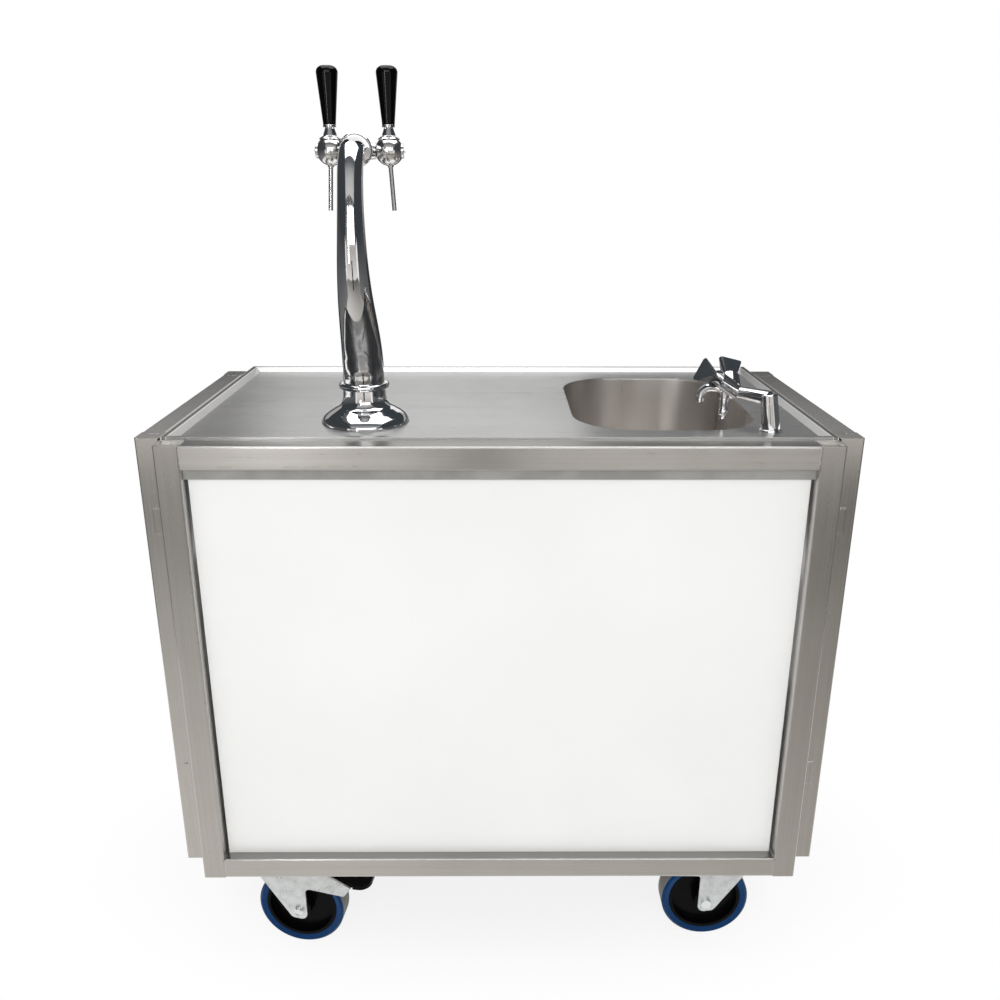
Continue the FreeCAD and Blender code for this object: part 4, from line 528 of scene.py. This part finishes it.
def make_tower_foot(looks):
    """The tower's bell-shaped flange, a skirt and a sweep up to the neck, and the round ring above it."""
    low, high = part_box("tower_flange")
    centre = ((low[X] + high[X]) / 2, (low[Y] + high[Y]) / 2, SURFACE)
    tail_end = low[Z] - SURFACE
    inside = [(BORE, NECK), (BORE, tail_end), (TAIL, tail_end), (TAIL, 0.0)]
    bell = [(BELL_FOOT, 0.0)] + smooth_run(SKIRT) + smooth_run(SWEEP) + inside
    lathe("tower_bell", bell, centre, looks["chrome"], "tower_flange")
    angles = [math.pi * (step / RING_STEPS - 0.5) for step in range(RING_STEPS + 1)]
    bulge = [(RING_MIDDLE + RING_HALF * math.cos(angle), NECK + RING_HALF * (1 + math.sin(angle)))
             for angle in angles]
    ring = [(BORE, NECK)] + bulge + [(RING_TOP, NECK + 2 * RING_HALF), (BORE, NECK + RING_HALF)]
    lathe("tower_ring", ring, centre, looks["chrome"], "tower_collar")


# ---------------------------------------------------------------- weld seams
# A seam stops this far from a tube's edge, short of its rounded corner.
SEAM_INSET = 0.0035
# A bead's half width and height, how deep it is set in, and the length of one step along it.
BEAD_HALF = 0.0013
BEAD_RISE = 0.00045
BEAD_SINK = 0.0001
BEAD_STEP = 0.0008
# Its section in half widths and heights, and the share of its length over which it rises at either end.
BEAD_SECTION = ((-1.0, -0.2), (-0.6, 0.65), (0.0, 1.0), (0.6, 0.65), (1.0, -0.2))
BEAD_ENDS = 0.25
# Each wave is its turn per step and its size. Its phase comes from where the seam starts, so that
# the seams differ.
FINE_RIPPLE = (2.6, 0.16)
BROAD_RIPPLE = (0.41, 0.22)
SWAY = (0.23, 0.0003)
PHASES = Vector((40.0, 80.0, 120.0))


def wave(step, phase, turn, size):
    return math.sin(step * turn + phase) * size


def bead(bm, start, end, out):
    """A lumpy weld bead on a face, from start to end, that stands a little proud of it."""
    start, end, out = Vector(start), Vector(end), Vector(out)
    across = (end - start).normalized().cross(out)
    count = int((end - start).length / BEAD_STEP)
    phase = PHASES.dot(start)
    rings = []
    for step in range(count + 1):
        share = step / count
        place = start + (end - start) * share
        ripple = wave(step, phase, *FINE_RIPPLE) + wave(step, 2.0 * phase, *BROAD_RIPPLE)
        sway = wave(step, phase, *SWAY)
        fade = min(1.0, share / BEAD_ENDS, (1.0 - share) / BEAD_ENDS)
        half = BEAD_HALF * (1.0 + ripple / 2)
        rise = BEAD_RISE * (1.0 + ripple) * fade
        rings.append([bm.verts.new(place + across * (side * half + sway) + out * (up * rise - BEAD_SINK))
                      for side, up in BEAD_SECTION])
    skin_rings(bm, rings)
    bm.faces.new(rings[0])
    bm.faces.new(list(reversed(rings[-1])))
    bmesh.ops.recalc_face_normals(bm, faces=bm.faces)


def face_beads(bm, axis, place, low, high, faces):
    """Beads round a tube that runs along an axis, at a place along it.

    low and high are the tube's corners. faces are its faces that get a bead: axis, place and way out.
    """
    for face_axis, at, way in faces:
        run = X + Y + Z - axis - face_axis
        start, end, out = [0.0] * 3, [0.0] * 3, [0.0] * 3
        start[axis] = end[axis] = place
        start[face_axis] = end[face_axis] = at
        start[run], end[run] = low[run] + SEAM_INSET, high[run] - SEAM_INSET
        out[face_axis] = way
        bead(bm, start, end, out)


def make_frame_beads(look):
    """Ground weld seams where the front and rear rails meet the frame's posts.

    The rear top rail lies 7 mm lower than the front one, and its seams stand at the front one's height.
    """
    low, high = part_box("frame_posts")
    bm = bmesh.new()
    for foot, at_top in ((high[Z] - TUBE, True), (low[Z], False)):
        for outer, inner, way in ((low[Y], low[Y] + TUBE, -1.0), (high[Y], high[Y] - TUBE, 1.0)):
            lows = (low[X], min(outer, inner), foot)
            highs = (high[X], max(outer, inner), foot + TUBE)
            faces = [(Y, outer, way), (Y, inner, -way), (Z, foot, -1.0)]
            under_counter = at_top and way > 0
            if not under_counter:
                faces.append((Z, foot + TUBE, 1.0))
            for place in (low[X] + TUBE, high[X] - TUBE):
                face_beads(bm, X, place, lows, highs, faces)
    add_piece("weld_beads_frame", bm, look, "cart")


def make_wing_beads(side, way, look):
    """Ground weld seams round both rails of a wing, near its uprights.

    The wing's box starts at its hinge barrels, so each seam lies 9.4 mm ahead of the joint itself.
    """
    low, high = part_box(f"wing_frame_{side}")
    middle = (max(abs(low[X]), abs(high[X])) - TUBE / 2) * way
    left, right = middle - TUBE / 2, middle + TUBE / 2
    bm = bmesh.new()
    for foot in (high[Z] - TUBE, low[Z]):
        head = foot + TUBE
        faces = [(X, left, -1.0), (X, right, 1.0), (Z, foot, -1.0), (Z, head, 1.0)]
        for place in (low[Y] + TUBE, low[Y] + WING_LENGTH - TUBE):
            face_beads(bm, Y, place, (left, 0.0, foot), (right, 0.0, head), faces)
    add_piece(f"weld_beads_wing_{side}", bm, look, f"wing_{side}")


def make_weld_beads(looks):
    make_frame_beads(looks["weld"])
    make_wing_beads("left", -1.0, looks["weld"])
    make_wing_beads("right", 1.0, looks["weld"])


# ---------------------------------------------------------------- studio
WHITE = (1.0, 1.0, 1.0, 1.0)
# The world's strength as a light; what the camera and reflections see of it has a strength of 1.
AMBIENT = 0.62
FLOOR_HALF = 9.0
FLOOR_TONE = (0.86, 0.86, 0.86, 1.0)
# The floor's glow is dimmer in an oval under the cart, twice as wide as it is deep.
OVAL = (0.5, 1.0, 1.0)
OVAL_REACH = (0.16, 0.52)
OVAL_GLOW = (0.80, 1.0)


def level(left, right, front, back, height):
    """The corners of a level sheet."""
    return [(left, front, height), (right, front, height), (right, back, height), (left, back, height)]


def upright(start, end, low, high):
    """The corners of an upright sheet that stands between two places on the floor."""
    return [(*start, low), (*end, low), (*end, high), (*start, high)]


def facing(place, outline):
    """The corners of an upright sheet that faces the front, from (x, z) points."""
    return [(x, place, z) for x, z in outline]


def plane(name, corners):
    mesh = bpy.data.meshes.new(name)
    mesh.from_pydata(corners, [], [tuple(range(len(corners)))])
    thing = bpy.data.objects.new(name, mesh)
    bpy.context.scene.collection.objects.link(thing)
    return thing


def make_world():
    """White to the camera and in reflections; a plain soft level of light for everything else."""
    world = bpy.data.worlds.new("studio")
    bpy.context.scene.world = world
    tree = Tree(world, "ShaderNodeOutputWorld")
    backgrounds = []
    for strength in (AMBIENT, 1.0):
        background = tree.add("ShaderNodeBackground")
        background.inputs["Color"].default_value = WHITE
        background.inputs["Strength"].default_value = strength
        backgrounds.append(background)
    path = tree.add("ShaderNodeLightPath").outputs
    seen = tree.math("MAXIMUM", path["Is Camera Ray"], path["Is Glossy Ray"])
    tree.show(tree.math("MAXIMUM", seen, path["Is Transmission Ray"]), *backgrounds)


def make_floor():
    """A pale floor that reads white to the camera and in the metal, and keeps the soft shadow."""
    floor = plane("floor", level(-FLOOR_HALF, FLOOR_HALF, -FLOOR_HALF, FLOOR_HALF, 0.0))
    tree = Tree(bpy.data.materials.new("floor_pale"))
    diffuse = tree.add("ShaderNodeBsdfDiffuse")
    diffuse.inputs["Color"].default_value = FLOOR_TONE
    glow = tree.add("ShaderNodeEmission")
    away = tree.add("ShaderNodeVectorMath", operation="LENGTH")
    tree.link(tree.scaled(tree.place(), OVAL), away.inputs[0])
    fade = tree.ramp(away.outputs["Value"], *OVAL_REACH, *OVAL_GLOW)
    path = tree.add("ShaderNodeLightPath").outputs
    seen = tree.math("MAXIMUM", path["Is Camera Ray"], path["Is Glossy Ray"])
    tree.show(tree.math("MULTIPLY", seen, fade), diffuse, glow)
    floor.data.materials.append(tree.owner)


def card_look(name, low, high, span, axis=Z, fade=None):
    """A studio card's glow, from one tone to another between two places along an axis.

    A fade is another axis, two places along it, and the glow's strength at each.
    """
    tree = Tree(bpy.data.materials.new(name))
    glow = tree.add("ShaderNodeEmission")
    place = tree.apart(tree.place())
    tones = tree.mix(tree.ramp(place[axis], *span, form="LINEAR"), (*low, 1), (*high, 1))
    tree.link(tones, glow.inputs["Color"])
    if fade:
        other, *ends = fade
        tree.link(tree.ramp(place[other], *ends, form="LINEAR"), glow.inputs["Strength"])
    tree.link(glow.outputs[0], tree.surface)
    return tree.owner


# The cards' places: (x, y) on the floor, then y alone, then heights.
LEFT_NEAR, RIGHT_NEAR = (-1.7, -1.8), (1.7, -1.8)
LEFT_FAR, RIGHT_FAR = (-2.0, 1.6), (2.0, 1.6)
LEFT_FRONT, RIGHT_FRONT = (-2.6, -3.6), (2.6, -3.6)
BACK = 1.6
BEFORE_BACK = 1.58
PERSON = -2.5
JUST_ABOVE_FLOOR = 0.006
SIDE_TOP = 3.6
HIGH_FOOT = 1.7
TOP = 3.9


def make_cards():
    """Cards round the object, seen only in its gloss, that give chrome its dark edges and warm middle."""
    dark = card_look("card_dark", (0.030, 0.036, 0.040), (0.045, 0.055, 0.062), (0.0, 2.4))
    soft = card_look("card_soft", (0.66, 0.65, 0.64), (0.14, 0.15, 0.16), (2.5, 3.2))
    side = card_look("card_side", (0.20, 0.20, 0.20), (0.05, 0.055, 0.06), (0.2, 1.6))
    rear = card_look("card_rear", (0.035, 0.040, 0.044), (0.46, 0.45, 0.44), (1.18, 1.60))
    warm = card_look("card_warm", (0.86, 0.82, 0.77), (0.13, 0.13, 0.13), (0.0, 3.0))
    ground = card_look("card_ground", (0.56, 0.54, 0.515), (0.34, 0.325, 0.30), (-0.9, 1.0), axis=X,
                       fade=(Y, -3.2, -0.6, 0.45, 1.4))
    roof = card_look("card_roof", (0.10, 0.11, 0.12), (0.16, 0.17, 0.18), (-3.0, 3.0), axis=X)
    cards = {
        "card_back": (rear, facing(BACK, ((-2.0, 0.1), (2.0, 0.1), (2.0, 2.1), (0.38, 2.1), (0.3, 1.42),
                                          (-0.3, 1.30), (-0.75, 1.42), (-0.95, 1.7), (-1.1, 2.4),
                                          (-2.0, 2.4)))),
        "card_back_left": (dark, facing(BEFORE_BACK, ((-2.0, 2.0), (-0.95, 2.0), (-0.85, TOP),
                                                      (-2.0, TOP)))),
        "card_back_right": (dark, facing(BEFORE_BACK, ((0.38, 1.75), (2.0, 1.75), (2.0, TOP),
                                                       (0.3, TOP)))),
        "card_left": (side, upright(LEFT_NEAR, LEFT_FAR, 0.0, SIDE_TOP)),
        "card_right": (side, upright(RIGHT_FAR, RIGHT_NEAR, 0.0, SIDE_TOP)),
        "card_left_high": (dark, upright(LEFT_FRONT, LEFT_NEAR, HIGH_FOOT, TOP)),
        "card_right_high": (dark, upright(RIGHT_NEAR, RIGHT_FRONT, HIGH_FOOT, TOP)),
        "card_high": (soft, [(-1.6, -2.3, 2.5), (1.6, -2.3, 2.5), (1.6, -1.1, 3.3), (-1.6, -1.1, 3.3)]),
        "card_person": (dark, facing(PERSON, ((-0.24, 0.0), (0.10, 0.0), (0.06, 1.15), (-0.2, 1.15)))),
        "card_floor": (ground, level(-2.6, 2.6, -3.6, -0.42, JUST_ABOVE_FLOOR)),
        "card_front": (warm, upright(LEFT_FRONT, RIGHT_FRONT, 0.0, TOP)),
        "card_roof": (roof, level(-3.0, 3.0, -3.8, BACK, TOP)),
    }
    for name, (look, corners) in cards.items():
        card = plane(name, corners)
        card.data.materials.append(look)
        card.visible_camera = False
        card.visible_diffuse = False
        card.visible_shadow = False
        card.visible_transmission = False


def make_lamp(name, place, aim, size, watts):
    data = bpy.data.lights.new(name, "AREA")
    data.shape = "RECTANGLE"
    data.size, data.size_y = size
    data.energy = watts
    lamp = bpy.data.objects.new(name, data)
    lamp.location = place
    lamp.rotation_euler = (Vector(aim) - Vector(place)).to_track_quat("-Z", "Y").to_euler()
    bpy.context.scene.collection.objects.link(lamp)


def make_lamps():
    """A large soft light overhead, a weaker one in front, and a narrow strip for the highlights."""
    make_lamp("softbox_over", place=(0.0, 0.1, 3.2), aim=(0.0, 0.0, 0.9), size=(2.6, 1.8), watts=42)
    make_lamp("softbox_front", place=(0.35, -3.3, 2.2), aim=(0.0, 0.0, 0.8), size=(2.8, 1.0), watts=30)
    make_lamp("strip_front", place=(-0.9, -2.5, 1.7), aim=(-0.1, 0.0, 1.3), size=(0.12, 1.3), watts=7)


bpy.context.scene.view_settings.view_transform = "Standard"
make_camera()
make_world()
make_floor()
make_cards()
make_lamps()
LOOKS = make_materials()
dress_nodes(LOOKS)
make_weld_beads(LOOKS)
make_tower_foot(LOOKS)
